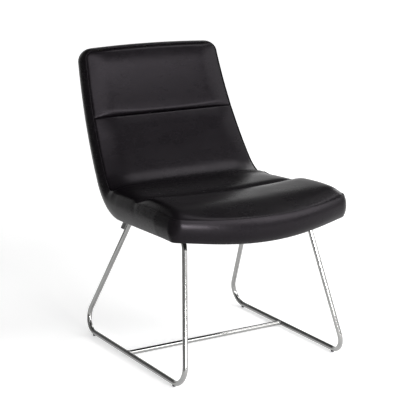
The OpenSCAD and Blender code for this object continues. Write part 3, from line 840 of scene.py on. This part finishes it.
def effect_group(name, number, start, outputs, build):
    """A shader node group that takes a vector and one number, built once."""
    tree = bpy.data.node_groups.get(name)
    if tree:
        return tree
    tree = bpy.data.node_groups.new(name, "ShaderNodeTree")
    tree.interface.new_socket("Vector", in_out="INPUT", socket_type=VECTOR)
    tree.interface.new_socket(number, in_out="INPUT", socket_type=FLOAT).default_value = start
    for label in outputs:
        tree.interface.new_socket(label, in_out="OUTPUT", socket_type=FLOAT)
    work = Nodes(tree)
    given = work.nodes.new("NodeGroupInput").outputs
    result = work.nodes.new("NodeGroupOutput").inputs
    for label, value in build(work, given).items():
        work.feed(result[label], value)
    return tree


def hide_grain():
    """Fine pebbles and pores of a smooth hide, and the mottling of its dye."""

    bend, pebble_share, fine_share = 0.004, 0.7, 0.4

    def build(work, given):
        vector = work.add("ShaderNodeVectorMath", operation="MULTIPLY_ADD")
        work.feed(vector.inputs[0], work.noise(given["Vector"], scale=55.0))
        vector.inputs[1].default_value = (bend, bend, bend)
        work.feed(vector.inputs[2], given["Vector"])
        cells = work.add("ShaderNodeTexVoronoi", feature="SMOOTH_F1")
        work.feed(cells.inputs["Vector"], vector.outputs[0])
        work.feed(cells.inputs["Scale"], given["Scale"])
        cells.inputs["Smoothness"].default_value = 0.35
        pebble = work.math("SUBTRACT", 1.0, work.remap(cells.outputs["Distance"], low=0.0, high=0.75))
        finer = work.math("MULTIPLY", given["Scale"], 2.6)
        fine = work.noise(given["Vector"], scale=finer, detail=3.0, rough=0.6)
        pebbles = work.math("MULTIPLY", pebble, pebble_share)
        height = work.math("ADD", pebbles, work.math("MULTIPLY", fine, fine_share))
        broad = work.noise(given["Vector"], scale=7.0, detail=4.0, rough=0.6)
        return {"Height": height, "Mottle": work.remap(broad, low=0.32, high=0.68), "Fine": fine}

    return effect_group("Hide grain", "Scale", 900.0, ("Height", "Mottle", "Fine"), build)


def handling_marks():
    """Faint smears and specks that vary the gloss of a surface."""

    def build(work, given):
        wiped = work.stretched(given["Vector"], (1.0, 1.0, 2.4))
        smear = work.noise(wiped, scale=given["Scale"], detail=5.0, rough=0.62)
        finer = work.math("MULTIPLY", given["Scale"], 11.0)
        speck = work.noise(given["Vector"], scale=finer, rough=0.7)
        specks = work.remap(speck, low=0.62, high=0.8, to_high=0.35)
        return {"Mask": work.math("ADD", work.remap(smear, low=0.35, high=0.7), specks, clamp=True)}

    return effect_group("Handling marks", "Scale", 12.0, ("Mask",), build)


def woven_threads():
    """Over and under threads of a plain cloth."""

    def build(work, given):
        split = work.add("ShaderNodeSeparateXYZ", Vector=given["Vector"])
        warp = work.math("SINE", work.math("MULTIPLY", split.outputs["X"], given["Threads"]))
        weft = work.math("SINE", work.math("MULTIPLY", split.outputs["Y"], given["Threads"]))
        fuzz = work.noise(given["Vector"], scale=1400.0)
        return {"Height": work.math("ADD", work.math("MULTIPLY", warp, weft), fuzz), "Fuzz": fuzz}

    return effect_group("Woven threads", "Threads", 4200.0, ("Height", "Fuzz"), build)


def finish(name, build):
    """A material made once, whose Principled shader has the inputs that build returns."""
    material = bpy.data.materials.get(name)
    if material:
        return material
    material = bpy.data.materials.new(name)
    material.use_nodes = True
    work = Nodes(material.node_tree)
    shader = work.nodes["Principled BSDF"]
    for label, value in build(work).items():
        work.feed(shader.inputs[label], value)
    return material


def leather_finish():
    """Smooth dark hide: mottled dye, dark pores, soft handling marks and a low sheen."""
    look = settings("chair_colours")

    def build(work):
        place = work.place()
        grain = work.group(hide_grain(), Vector=place, Scale=900.0)
        marks = work.group(handling_marks(), Vector=place, Scale=9.0)
        dye = work.mix(grain["Mottle"], look.leather, look.leather_worn)
        rough = work.spread(marks["Mask"], 0.27, 0.33)
        soft = work.bump(work.noise(place, scale=38.0), strength=0.22, depth=0.0012)
        skin = work.remap(grain["Height"], low=0.15, high=0.55)
        return {
            "Base Color": work.mix(skin, look.leather_deep, dye),
            "Roughness": work.math("SUBTRACT", rough, work.math("MULTIPLY", grain["Fine"], 0.03)),
            "Specular IOR Level": 0.11,
            "Specular Tint": (0.99, 0.90, 1.0, 1.0),
            "Normal": work.bump(grain["Height"], strength=0.16, depth=0.00025, normal=soft),
        }

    return finish("dark leather", build)


def handled_finish(name, clean, worn, marks, rough, scale, strength, depth, detail=2.0, metallic=0.0):
    """A hard finish whose handling marks mix two colours and vary its gloss, over a fine bump."""

    def build(work):
        place = work.place()
        mask = work.group(handling_marks(), Vector=place, Scale=marks)["Mask"]
        return {
            "Base Color": work.mix(mask, clean, scaled(clean, worn)),
            "Roughness": work.spread(mask, *rough),
            "Metallic": metallic,
            "Normal": work.bump(work.noise(place, scale, detail), strength, depth),
        }

    return finish(name, build)


def chrome_finish():
    """Polished chrome with faint smears, darker than real chrome: painted shade over all its reflections."""
    return handled_finish(
        "polished chrome", settings("chair_colours").chrome, worn=0.9, marks=26.0, rough=(0.12, 0.16),
        scale=90.0, strength=0.03, depth=0.0001, metallic=1.0,
    )


def zinc_finish():
    """Dull zinc plate."""
    return handled_finish(
        "zinc plate", settings("chair_colours").zinc, worn=0.72, marks=90.0, rough=(0.30, 0.48),
        scale=900.0, strength=0.12, depth=0.0002, detail=3.0, metallic=1.0,
    )


def plastic_finish():
    """Scuffed dark plastic with a moulded grain."""
    return handled_finish(
        "moulded plastic", settings("chair_colours").glide, worn=2.2, marks=60.0, rough=(0.46, 0.62),
        scale=2400.0, strength=0.2, depth=0.0001,
    )


def birch_finish():
    """Bare birch veneer with its long grain."""
    look = settings("chair_colours")

    def build(work):
        place = work.place()
        along_grain, along_pores = (170.0, 14.0, 14.0), (900.0, 60.0, 60.0)
        grain = work.noise(work.stretched(place, along_grain), scale=1.0, detail=4.0, rough=0.6)
        pores = work.noise(work.stretched(place, along_pores), scale=1.0, rough=0.6)
        return {
            "Base Color": work.mix(work.remap(grain, low=0.3, high=0.7), look.birch, look.birch_dark),
            "Roughness": work.remap(pores, low=0.2, high=0.8, to_low=0.5, to_high=0.66),
            "Normal": work.bump(pores, strength=0.2, depth=0.0003),
        }

    return finish("birch plywood", build)


def foam_finish():
    """Open cells of cut foam."""
    look = settings("chair_colours")

    def build(work):
        place = work.place()
        cells = work.add("ShaderNodeTexVoronoi", Vector=place, Scale=520.0).outputs["Distance"]
        broad = work.noise(place, scale=16.0, detail=3.0)
        return {
            "Base Color": work.mix(work.math("MULTIPLY", cells, broad), look.foam, scaled(look.foam, 0.6)),
            "Roughness": work.remap(broad, low=0.2, high=0.8, to_low=0.9, to_high=1.0),
            "Normal": work.bump(cells, strength=0.5, depth=0.0008),
        }

    return finish("cut foam", build)


def cloth_finish():
    """Black woven dust cloth."""
    look = settings("chair_colours")

    def build(work):
        threads = work.group(woven_threads(), Vector=work.place(), Threads=4200.0)
        return {
            "Base Color": work.mix(threads["Fuzz"], look.cloth, scaled(look.cloth, 2.6)),
            "Roughness": work.remap(threads["Fuzz"], low=0.2, high=0.8, to_low=0.82, to_high=0.95),
            "Normal": work.bump(threads["Height"], strength=0.35, depth=0.0003),
        }

    return finish("dust cloth", build)


def dress(material, *nodes):
    """CAD nodes keep their shape and take a better finish."""
    for name in nodes:
        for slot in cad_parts[name].material_slots:
            slot.material = material


class CHAIR_OT_seat_panels(bpy.types.Operator):
    """Makes the front and rear padded panels of the seat"""

    bl_idname = "chair.seat_panels"
    bl_label = "Seat Panels"

    def execute(self, context):
        shell = Shell()
        gap = shell.joint_gap / 2
        wider = shell.nose_roll - shell.nose_side_roll

        def over_nose(d, x, s):
            return roll(d, shell.nose_side_roll + wider * shell.middle(x, s))

        leather_panel(
            "seat_front_leather",
            "seat_front_panel",
            ends=(shell.core_in - shell.nose, shell.seat_channel_run - gap),
            crown=shell.front_crown,
            rolls=(over_nose, even(shell.rear_rise), even(shell.front_side_roll)),
            joins=(False, True),
        )
        leather_panel(
            "seat_rear_leather",
            "seat_rear_panel",
            ends=(shell.seat_channel_run + gap, shell.crease_run - gap),
            crown=shell.rear_crown,
            rolls=(even(shell.channel_roll), even(shell.crease_roll), even(shell.side_roll)),
            joins=(True, True),
        )
        return {"FINISHED"}


class CHAIR_OT_back_panels(bpy.types.Operator):
    """Makes the lower and upper padded panels of the back"""

    bl_idname = "chair.back_panels"
    bl_label = "Back Panels"
    corner_power = 1.5
    channel_share, top_share = 0.7, 0.6

    def execute(self, context):
        shell = Shell()
        gap = shell.joint_gap / 2
        side = gentle(shell.wing_roll)
        under_channel = firm(shell.tight_roll, shell.easy_roll, self.channel_share)
        over_top = firm(shell.hanging_roll, shell.top_roll, self.top_share)
        wider = shell.channel_roll - shell.hanging_roll

        def over_channel(d, x, s):
            return roll(d, shell.hanging_roll + wider * (1 - shell.middle(x, s)) ** self.corner_power)

        leather_panel(
            "back_lower_leather",
            "back_lower_panel",
            ends=(shell.crease_run + gap, shell.back_channel_run - gap),
            crown=shell.lower_crown,
            rolls=(even(shell.crease_roll), under_channel, side),
            joins=(True, True),
            hanging=True,
        )
        leather_panel(
            "back_upper_leather",
            "back_upper_panel",
            ends=(shell.back_channel_run + gap, shell.top_run - shell.core_in),
            crown=shell.upper_crown,
            rolls=(over_channel, over_top, side),
            joins=(True, False),
            hanging=True,
        )
        return {"FINISHED"}


class CHAIR_OT_edge_bands(bpy.types.Operator):
    """Makes the four leather bands round the edge of the shell"""

    bl_idname = "chair.edge_bands"
    bl_label = "Edge Bands"

    def execute(self, context):
        leather_band("front_band", "front_border", "front")
        leather_band("right_band", "right_side_border", "right")
        leather_band("top_band", "top_border", "top")
        leather_band("left_band", "left_side_border", "left")
        return {"FINISHED"}


class CHAIR_OT_outside_covers(bpy.types.Operator):
    """Makes the leather over the back of the shell and the cloth under the seat"""

    bl_idname = "chair.outside_covers"
    bl_label = "Outside Covers"
    split_share = 1 / 15
    cover_step, cover_columns = 0.012, 36
    free_start, free_run, free_edge = 0.44, 0.08, 0.05
    wave_height, wave_length, wave_skew, wave_seed = 0.0005, 0.16, 0.4, 0.9

    def execute(self, context):
        shell = Shell()
        split = shell.seat_run - shell.bend_run * self.split_share
        gap = shell.skin_gap / 2
        back = (split + gap, shell.top_run - shell.core_in)
        seat = (shell.core_in + shell.band_lean - shell.nose, split - gap)
        leather, cloth = (leather_finish(), "leather"), (cloth_finish(), "base_cloth")
        grids = self.grids(shell, *back, lean=0)
        slab_piece("outer_back_leather", *grids, *leather, ["outer_back_cover"], fill=COVER_FILL)
        grids = self.grids(shell, *seat, lean=shell.band_lean)
        slab_piece("underside_cloth", *grids, *cloth, ["seat_underside_cover"])
        return {"FINISHED"}

    def grids(self, shell, start, end, lean):
        """Outer and inner faces of a cover, with its sunk edges and the soft fill of the back."""
        s = spread(start, end, self.cover_step)[:, None]
        x = columns(shell.plan_half(s[:, 0], shell.core_in, lean), self.cover_columns)
        low = shell.low_t(x, s) + 0 * s
        joint = end - s if lean else s - start
        near = np.minimum(shell.edge_distance(x, s, shell.core_in), joint)
        side = shell.side_distance(x, s, lean)
        free = ease((s - self.free_start) / self.free_run) * roll(side, self.free_edge)
        free = free * roll(shell.top_run - shell.core_in - s, self.free_edge)
        outer_t = low + shell.groove(near, shell.seam_groove) - shell.back_pillow * free
        waves = ripple(s + self.wave_skew * x, self.wave_length, self.wave_seed)
        outer_t = outer_t - self.wave_height * free * waves
        inner_t = np.where(s < shell.ply_front, low, 0) + shell.cover_t
        return shell.skin_spot(x, s, outer_t), shell.skin_spot(x, s, inner_t)


class CHAIR_OT_foam_core(bpy.types.Operator):
    """Makes the foam under the panels and the roll along the front edge"""

    bl_idname = "chair.foam_core"
    bl_label = "Foam Core"
    foam_step, foam_rows, foam_columns = 0.010, 12, 40
    crease_relief = 0.0015

    def execute(self, context):
        shell = Shell()
        gap, ply, crease = shell.skin_gap, shell.ply_front, shell.crease_run
        front, top = shell.core_in - shell.nose, shell.top_run - shell.core_in
        self.block(shell, "front_foam_roll", "front_edge_foam", front, ply - gap, shell.band_lean)
        self.block(shell, "seat_foam_pad", "seat_foam", ply, crease - gap / 2)
        self.block(shell, "back_foam_pad", "back_foam", crease + gap / 2, top)
        return {"FINISHED"}

    def block(self, shell, name, node, start, end, lean=0):
        """A foam block between two runs, on the plywood or, where it leans, on the cover."""
        inset, gap = shell.core_in, shell.skin_gap
        n = max(self.foam_rows, round((end - start) / self.foam_step))
        share = (1 - np.cos(np.linspace(0, pi, n + 1)))[:, None] / 2
        s_low = start + lean + (end - start - lean) * share
        s = start + (end - start) * share
        across = -np.cos(np.linspace(0, pi, self.foam_columns + 1))[None, :]
        x = across * shell.plan_half(s, inset)
        x_low = across * shell.plan_half(s_low, inset, lean)
        relief = self.crease_relief * clamp01(1 - np.abs(s - shell.crease_run) / shell.corner_run)
        top_t = shell.seam_t(x, s) - shell.panel_edge_t - gap - relief
        on_cover = shell.low_t(x_low, s_low) + shell.cover_t + gap
        on_ply = shell.cover_t + gap + shell.ply_t + gap + 0 * x
        upper = shell.skin_spot(x, s, top_t)
        lower = shell.skin_spot(x_low, s_low, on_cover if lean else on_ply)
        slab_piece(name, upper, lower, foam_finish(), "foam", [node], fill=FOAM_FILL, levels=0)


def box_middle(node):
    """Middle of a CAD node's box."""
    low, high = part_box(node)
    return Vector([(a + b) / 2 for a, b in zip(low, high)])


def meeting(centre, along, radius, other, other_along, other_radius, n=40):
    """Closed line on which a rod that runs along a direction meets another rod."""
    along, other_along = Vector(along).normalized(), Vector(other_along).normalized()
    side = along.orthogonal().normalized()
    up = along.cross(side)
    line = []
    for k in range(n):
        a = 2 * pi * k / n
        start = Vector(centre) + (side * cos(a) + up * sin(a)) * radius
        gap = start - Vector(other)
        gap -= other_along * gap.dot(other_along)
        run = along - other_along * along.dot(other_along)
        p, q, r = run.dot(run), 2 * run.dot(gap), gap.dot(gap) - other_radius**2
        root = max(0.0, q * q - 4 * p * r) ** 0.5
        line.append(start + along * ((-q - root) / (2 * p)))
    return line


# A direction that no line here runs along, and the slight unevenness of a bead.
ASIDE = Vector((0.13, 0.21, 0.97))
UNEVEN_SHARE, UNEVEN_TURN = 0.08, 2.7


def ring(centre, side, up, radius, sides):
    """Points round a centre."""
    turns = [2 * pi * j / sides for j in range(sides)]
    return [tuple(centre + (side * cos(a) + up * sin(a)) * radius) for a in turns]


def tube(line, radius, closed=True, sides=10):
    """Points and faces of a round bead along a line."""
    n = len(line)
    points, faces = [], []
    for k, here in enumerate(line):
        before = line[(k - 1) % n] if closed or k else here
        after = line[(k + 1) % n] if closed or k < n - 1 else here
        along = (after - before).normalized()
        side = along.cross(ASIDE).normalized()
        size = radius * (1 + UNEVEN_SHARE * sin(UNEVEN_TURN * k))
        points += ring(here, side, along.cross(side), size, sides)
    for k in range(n if closed else n - 1):
        for j in range(sides):
            a, b = k * sides + j, k * sides + (j + 1) % sides
            c, d = ((k + 1) % n) * sides + (j + 1) % sides, ((k + 1) % n) * sides + j
            faces.append((a, b, c, d))
    if not closed:
        faces += [tuple(range(sides))[::-1], tuple(range((n - 1) * sides, n * sides))]
    return points, faces


def joined(parts):
    """Several shapes as the points and faces of one."""
    points, faces = [], []
    for more, quads in parts:
        faces += [tuple(i + len(points) for i in quad) for quad in quads]
        points += more
    return points, faces


class CHAIR_OT_sled_base(bpy.types.Operator):
    """Finishes the bent rods and adds the polished welds where they meet"""

    bl_idname = "chair.sled_base"
    bl_label = "Sled Base"
    cross_rods = ("floor_stretcher", "front_cross_rail", "rear_cross_rail")
    plates = ("front_left_plate", "front_right_plate", "rear_left_bracket", "rear_right_bracket")

    def execute(self, context):
        sizes, shell, chrome = settings("chair_frame"), settings("chair_shell"), chrome_finish()
        dress(chrome, "left_side_loop", "right_side_loop", *self.cross_rods, *self.plates)
        radius, lean, pitch = sizes.rod_d / 2, tan(sizes.loop_lean), shell.seat_pitch
        half = shell.seat_w / 2 - sizes.runner_in
        runner_z = radius + sizes.glide_floor
        beads = []
        for side in (-1, 1):
            for rod in self.cross_rods:
                _, y, z = box_middle(rod)
                if rod == "floor_stretcher":
                    other, along = (side * half, 0, runner_z), (0, 1, 0)
                else:
                    other = (side * (half - (z - runner_z) * lean), y, z)
                    along = (side * sin(pitch) * lean, cos(pitch), -sin(pitch))
                line = meeting((0, y, z), (side, 0, 0), radius, other, along, radius)
                beads.append(tube(line, sizes.weld_bead))
        points, faces = joined(beads)
        new_piece("frame_welds", points, faces, chrome, "chrome_rod")
        return {"FINISHED"}


def turned(profile, sides, place):
    """A closed turned shape: profile rows are a radius and a height, each a number or a function."""
    points, faces = [], []
    for radius, height in profile:
        for k in range(sides):
            a = 2 * pi * k / sides
            r = radius(a) if callable(radius) else radius
            h = height(a) if callable(height) else height
            points.append(tuple(place @ Vector((r * cos(a), r * sin(a), h))))
    for i in range(len(profile) - 1):
        for k in range(sides):
            n = (k + 1) % sides
            faces.append((i * sides + k, i * sides + n, (i + 1) * sides + n, (i + 1) * sides + k))
    last = (len(profile) - 1) * sides
    faces += [tuple(range(sides))[::-1], tuple(range(last, last + sides))]
    return points, faces


class CHAIR_OT_feet(bpy.types.Operator):
    """Makes the four small plastic feet under the runners"""

    bl_idname = "chair.feet"
    bl_label = "Feet"
    sides = 32
    # Shares of the foot's radius with heights, and the shares at which it meets the rod.
    rim = ((0.55, 0.0), (0.84, 0.0), (0.96, 0.0004), (1.0, 0.0011), (1.0, 0.0024))
    saddle_shares = (0.99, 0.9, 0.5)
    rod_gap = 0.00002

    def execute(self, context):
        sizes, plastic = settings("chair_frame"), plastic_finish()
        rod, foot = sizes.rod_d / 2, sizes.glide_d / 2
        axis_z = rod + sizes.glide_floor

        def saddle(radius):
            return lambda a: axis_z - max(0.0, rod**2 - (radius * cos(a)) ** 2) ** 0.5 - self.rod_gap

        profile = [(foot * share, height) for share, height in self.rim]
        profile += [(foot * share, saddle(foot * share)) for share in self.saddle_shares]
        for node in ("front_left_glide", "front_right_glide", "rear_left_glide", "rear_right_glide"):
            x, y, _ = box_middle(node)
            points, faces = turned(profile, self.sides, Matrix.Translation((x, y, 0)))
            new_piece(node.replace("glide", "foot"), points, faces, plastic, "glide_plastic", [node])
        return {"FINISHED"}


class CHAIR_OT_fixings(bpy.types.Operator):
    """Makes the screws under the seat and finishes the inserts"""

    bl_idname = "chair.fixings"
    bl_label = "Fixings"
    sides = 24
    # Shares of the socket's and the head's radius, with shares of the head's height.
    socket_shares = ((1.0, 0.35), (1.0, 0.98), (1.06, 1.0))
    head_shares = ((0.62, 0.97), (0.84, 0.78), (0.96, 0.45), (1.0, 0.18), (1.0, 0.0))
    thread_turns, thread_start_share = 7, 0.42
    crest_share, root_share, tip_share = 0.99, 0.86, 0.8
    edge_width, end_face = 0.00015, 1e-5

    def execute(self, context):
        sizes, zinc = settings("chair_frame"), zinc_finish()
        dress(zinc, "t_nuts")
        screws = self.screws()
        profile = self.profile(sizes, self.screw_length(screws[0]) - sizes.screw_head_h)
        parts = [turned(profile, self.sides, self.place(screw, sizes.screw_head_h)) for screw in screws]
        points, faces = joined(parts)
        piece = new_piece("socket_screws", points, faces, zinc, "zinc_steel", ["plate_screws"], smooth=False)
        edge = piece.modifiers.new("Soft edges", "BEVEL")
        edge.width, edge.segments, edge.limit_method = self.edge_width, 1, "ANGLE"
        return {"FINISHED"}

    def profile(self, sizes, depth):
        """A screw from its hexagon socket over its head and down its thread."""
        head, height, shank = sizes.screw_head_d / 2, sizes.screw_head_h, sizes.screw_d / 2
        flat = sizes.socket_af / 2

        def hexagon(share):
            return lambda a: flat / cos((a + pi / 6) % (pi / 3) - pi / 6) * share

        rows = [(hexagon(wide), -height * high) for wide, high in self.socket_shares]
        rows += [(head * wide, -height * high) for wide, high in self.head_shares]
        start, steps = depth * self.thread_start_share, self.thread_turns * 2
        rows += [(shank, 0.0), (shank, start)]
        for k in range(steps):
            share = self.root_share if k % 2 else self.crest_share
            rows.append((shank * share, start + (depth - start) * (k + 1) / (steps + 1)))
        return rows + [(shank * self.tip_share, depth)]

    @staticmethod
    def screws():
        """The eight CAD screws, as the vertices of each."""
        work = bmesh.new()
        work.from_mesh(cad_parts["plate_screws"].data)
        bmesh.ops.remove_doubles(work, verts=work.verts, dist=SAME_SPOT)
        left, found = set(work.verts), []
        for first in work.verts:
            if first not in left:
                continue
            left.discard(first)
            stack, group = [first], []
            while stack:
                here = stack.pop()
                group.append(here.co.copy())
                for edge in here.link_edges:
                    near = edge.other_vert(here)
                    if near in left:
                        left.discard(near)
                        stack.append(near)
            found.append(np.array(group))
        work.free()
        return found

    @staticmethod
    def upward(screw):
        """Direction of a screw's length, upward."""
        axis = np.linalg.svd(screw - screw.mean(0))[2][0]
        return axis if axis[2] > 0 else -axis

    def screw_length(self, screw):
        """Length of a screw over its head."""
        run = (screw - screw.mean(0)) @ self.upward(screw)
        return float(run.max() - run.min())

    def place(self, screw, height):
        """Turned frame of a screw, with the origin under its head's bearing face."""
        centre = (screw.max(0) + screw.min(0)) / 2
        axis = self.upward(screw)
        run = (screw - centre) @ axis
        base = screw[run < run.min() + self.end_face].mean(0) + axis * height
        turn = Vector(axis).to_track_quat("Z", "Y").to_matrix().to_4x4()
        return Matrix.Translation(Vector(base)) @ turn


class CHAIR_OT_plywood(bpy.types.Operator):
    """Finishes the moulded plywood shell"""

    bl_idname = "chair.plywood"
    bl_label = "Plywood Shell"

    def execute(self, context):
        dress(birch_finish(), "plywood_shell")
        return {"FINISHED"}


class CHAIR_OT_staples(bpy.types.Operator):
    """Makes the staples along the edge of the cloth under the seat"""

    bl_idname = "chair.staples"
    bl_label = "Staples"
    edge_in, first_run, last_gap, pitch = 0.009, 0.055, 0.02, 0.034
    wire_r, crown, leg_t, crown_t = 0.0004, 0.0105, 0.0004, -0.0003

    def execute(self, context):
        shell, reach = Shell(), self.crown / 2
        bends = ((-reach, self.leg_t), (-reach, self.crown_t), (reach, self.crown_t), (reach, self.leg_t))
        inset = shell.core_in + self.edge_in
        parts = []
        for side in (-1, 1):
            for s in np.arange(self.first_run, shell.seat_run - self.last_gap, self.pitch):
                x = side * (float(shell.half_w(s)) - inset)
                line = [Vector(shell.skin_spot(x, s + run, lift)[()]) for run, lift in bends]
                parts.append(tube(line, self.wire_r, closed=False, sides=6))
        points, faces = joined(parts)
        new_piece("cloth_staples", points, faces, zinc_finish(), "zinc_steel")
        return {"FINISHED"}


# Point that the soft lamps face, and the place of the camera.
AIM = Vector((0, 0, 0.45))
CAMERA_SPOT = (-1.8598, -3.1026, 1.2803)
SENSOR_MM, CLIP_NEAR, CLIP_FAR = 36, 0.1, 100
# Front and rear ends of the dark card that paints shade into the chair's reflections.
CARD_FRONT, CARD_REAR = -1.6, 2.6
# Distances over which the floor grows paler, and heights over which the backdrop turns to ceiling.
LIFT_NEAR, LIFT_FAR = 1.2, 5.0
CEILING_START, CEILING_END = 0.28, 0.50
SOFTBOX_AWAY = 4.0
# Name, degrees right of the front, degrees up, width, height and watts of each soft lamp.
SOFTBOXES = (
    ("low softbox", -4, 6, 1.0, 0.7, 118),
    ("main softbox", 19, 27, 2.2, 1.5, 62),
    ("right low softbox", 40, 16, 2.0, 1.2, 44),
    ("upper front softbox", -6, 42, 1.6, 1.6, 40),
    ("right softbox", 66, 24, 2.0, 1.4, 20),
    ("right high softbox", 72, 57, 1.6, 1.6, 40),
    ("rear right softbox", 110, 30, 1.6, 1.6, 42),
)


def softbox(name, azimuth, elevation, wide, high, watts):
    """A soft lamp that faces the chair from an azimuth right of the front and an elevation."""
    lamp = bpy.data.lights.new(name, "AREA")
    lamp.shape, lamp.size, lamp.size_y, lamp.energy = "RECTANGLE", wide, high, watts
    a, e = radians(azimuth), radians(elevation)
    way = Vector((sin(a) * cos(e), -cos(a) * cos(e), sin(e)))
    holder = linked(name, lamp)
    holder.location = AIM + way * SOFTBOX_AWAY
    holder.rotation_mode = "QUATERNION"
    holder.rotation_quaternion = way.to_track_quat("Z", "Y")
    holder.visible_camera = False


def flat(name, corners, material):
    """A flat piece of the stage."""
    mesh = bpy.data.meshes.new(name)
    mesh.from_pydata(corners, [], [(0, 1, 2, 3)])
    mesh.materials.append(material)
    return linked(name, mesh)


def floor_finish(look):
    """Pale floor that the camera and mirrors see paler, so that it meets the backdrop."""

    def build(work):
        away = work.add("ShaderNodeVectorMath", operation="LENGTH")
        work.feed(away.inputs[0], work.place())
        lift = work.remap(away.outputs["Value"], LIFT_NEAR, LIFT_FAR, look.near_lift, look.far_lift)
        tone = work.noise(work.place(), scale=0.6)
        return {
            "Base Color": work.mix(tone, look.floor, scaled(look.floor, 1.03)),
            "Roughness": 0.7,
            "Specular IOR Level": 0.2,
            "Emission Color": (1, 1, 1, 1),
            "Emission Strength": work.math("MULTIPLY", work.seen(), lift),
        }

    return finish("pale floor", build)


def reflection_shade_finish(look):
    """Plain dark card that only reflections show: painted shade in the chair's reflections."""

    def build(work):
        return {
            "Base Color": work.mix(work.noise(work.place(), scale=2.0), look.card, look.card_pale),
            "Roughness": 0.9,
            "Specular IOR Level": 0.1,
        }

    return finish("dark card", build)


class CHAIR_OT_stage(bpy.types.Operator):
    """Makes the floor, the studio light, the dark card that paints shade into reflections, and the camera"""

    bl_idname = "chair.stage"
    bl_label = "Stage"

    def execute(self, context):
        look = settings("chair_stage")
        context.scene.view_settings.view_transform = "Standard"
        self.camera(context.scene, look)
        half = look.floor_size / 2
        corners = [(-half, -half, 0), (half, -half, 0), (half, half, 0), (-half, half, 0)]
        flat("studio_floor", corners, floor_finish(look))
        self.surroundings(context.scene, look)
        self.dark_card(look)
        for row in SOFTBOXES:
            softbox(*row)
        return {"FINISHED"}

    @staticmethod
    def camera(scene, look):
        """The camera of the photograph."""
        camera = bpy.data.cameras.new("camera")
        camera.lens, camera.sensor_width = look.lens, SENSOR_MM
        camera.clip_start, camera.clip_end = CLIP_NEAR, CLIP_FAR
        holder = linked("camera", camera)
        holder.location = CAMERA_SPOT
        holder.rotation_euler = (pi / 2 - look.elevation, 0, look.azimuth)
        scene.camera = holder

    @staticmethod
    def dark_card(look):
        """A dark card at the left that only reflections show: painted shade in the reflections of the
        chair's left side.
        """
        x, high = -look.card_away, look.card_high
        corners = [(x, CARD_FRONT, 0), (x, CARD_REAR, 0), (x, CARD_REAR, high), (x, CARD_FRONT, high)]
        card = flat("dark_card", corners, reflection_shade_finish(look))
        # Hidden from the camera, from diffuse light and from shadows, so that it paints shade only into
        # reflections.
        card.visible_camera = card.visible_diffuse = card.visible_shadow = False

    @staticmethod
    def surroundings(scene, look):
        """Soft light all round, with a pale backdrop and a dim ceiling for the camera and mirrors."""
        world = bpy.data.worlds.new("soft studio")
        scene.world = world
        world.use_nodes = True
        work = Nodes(world.node_tree)
        back = work.nodes["Background"]
        back.inputs["Color"].default_value = (1, 1, 1, 1)
        way = work.nodes.new("ShaderNodeTexCoord").outputs["Generated"]
        height = work.add("ShaderNodeSeparateXYZ", Vector=way).outputs["Z"]
        studio = work.remap(height, CEILING_START, CEILING_END, look.backdrop, look.ceiling)
        work.feed(back.inputs["Strength"], work.spread(work.seen(), look.ambient, studio))


class CHAIR_PT_panel(bpy.types.Panel):
    """Lists the chair's pieces and the stage"""

    bl_label = "Lounge Chair"
    bl_idname = "CHAIR_PT_panel"
    bl_space_type = "VIEW_3D"
    bl_region_type = "UI"
    bl_category = "Lounge Chair"

    def draw(self, context):
        for step in STEPS:
            self.layout.operator(step.bl_idname)
        for name, group in GROUPS.items():
            box = self.layout.box()
            for field in group.__annotations__:
                box.prop(getattr(context.scene, name), field)


STEPS = (
    CHAIR_OT_sled_base,
    CHAIR_OT_feet,
    CHAIR_OT_fixings,
    CHAIR_OT_plywood,
    CHAIR_OT_foam_core,
    CHAIR_OT_seat_panels,
    CHAIR_OT_back_panels,
    CHAIR_OT_edge_bands,
    CHAIR_OT_outside_covers,
    CHAIR_OT_staples,
    CHAIR_OT_stage,
)


def register():
    for cls in (*GROUPS.values(), *STEPS, CHAIR_PT_panel):
        bpy.utils.register_class(cls)
    for name, cls in GROUPS.items():
        setattr(bpy.types.Scene, name, PointerProperty(type=cls))


def unregister():
    for name in GROUPS:
        delattr(bpy.types.Scene, name)
    for cls in (CHAIR_PT_panel, *STEPS[::-1], *list(GROUPS.values())[::-1]):
        bpy.utils.unregister_class(cls)


def main():
    register()
    for step in STEPS:
        family, action = step.bl_idname.split(".")
        getattr(getattr(bpy.ops, family), action)()


if __name__ == "__main__":
    main()
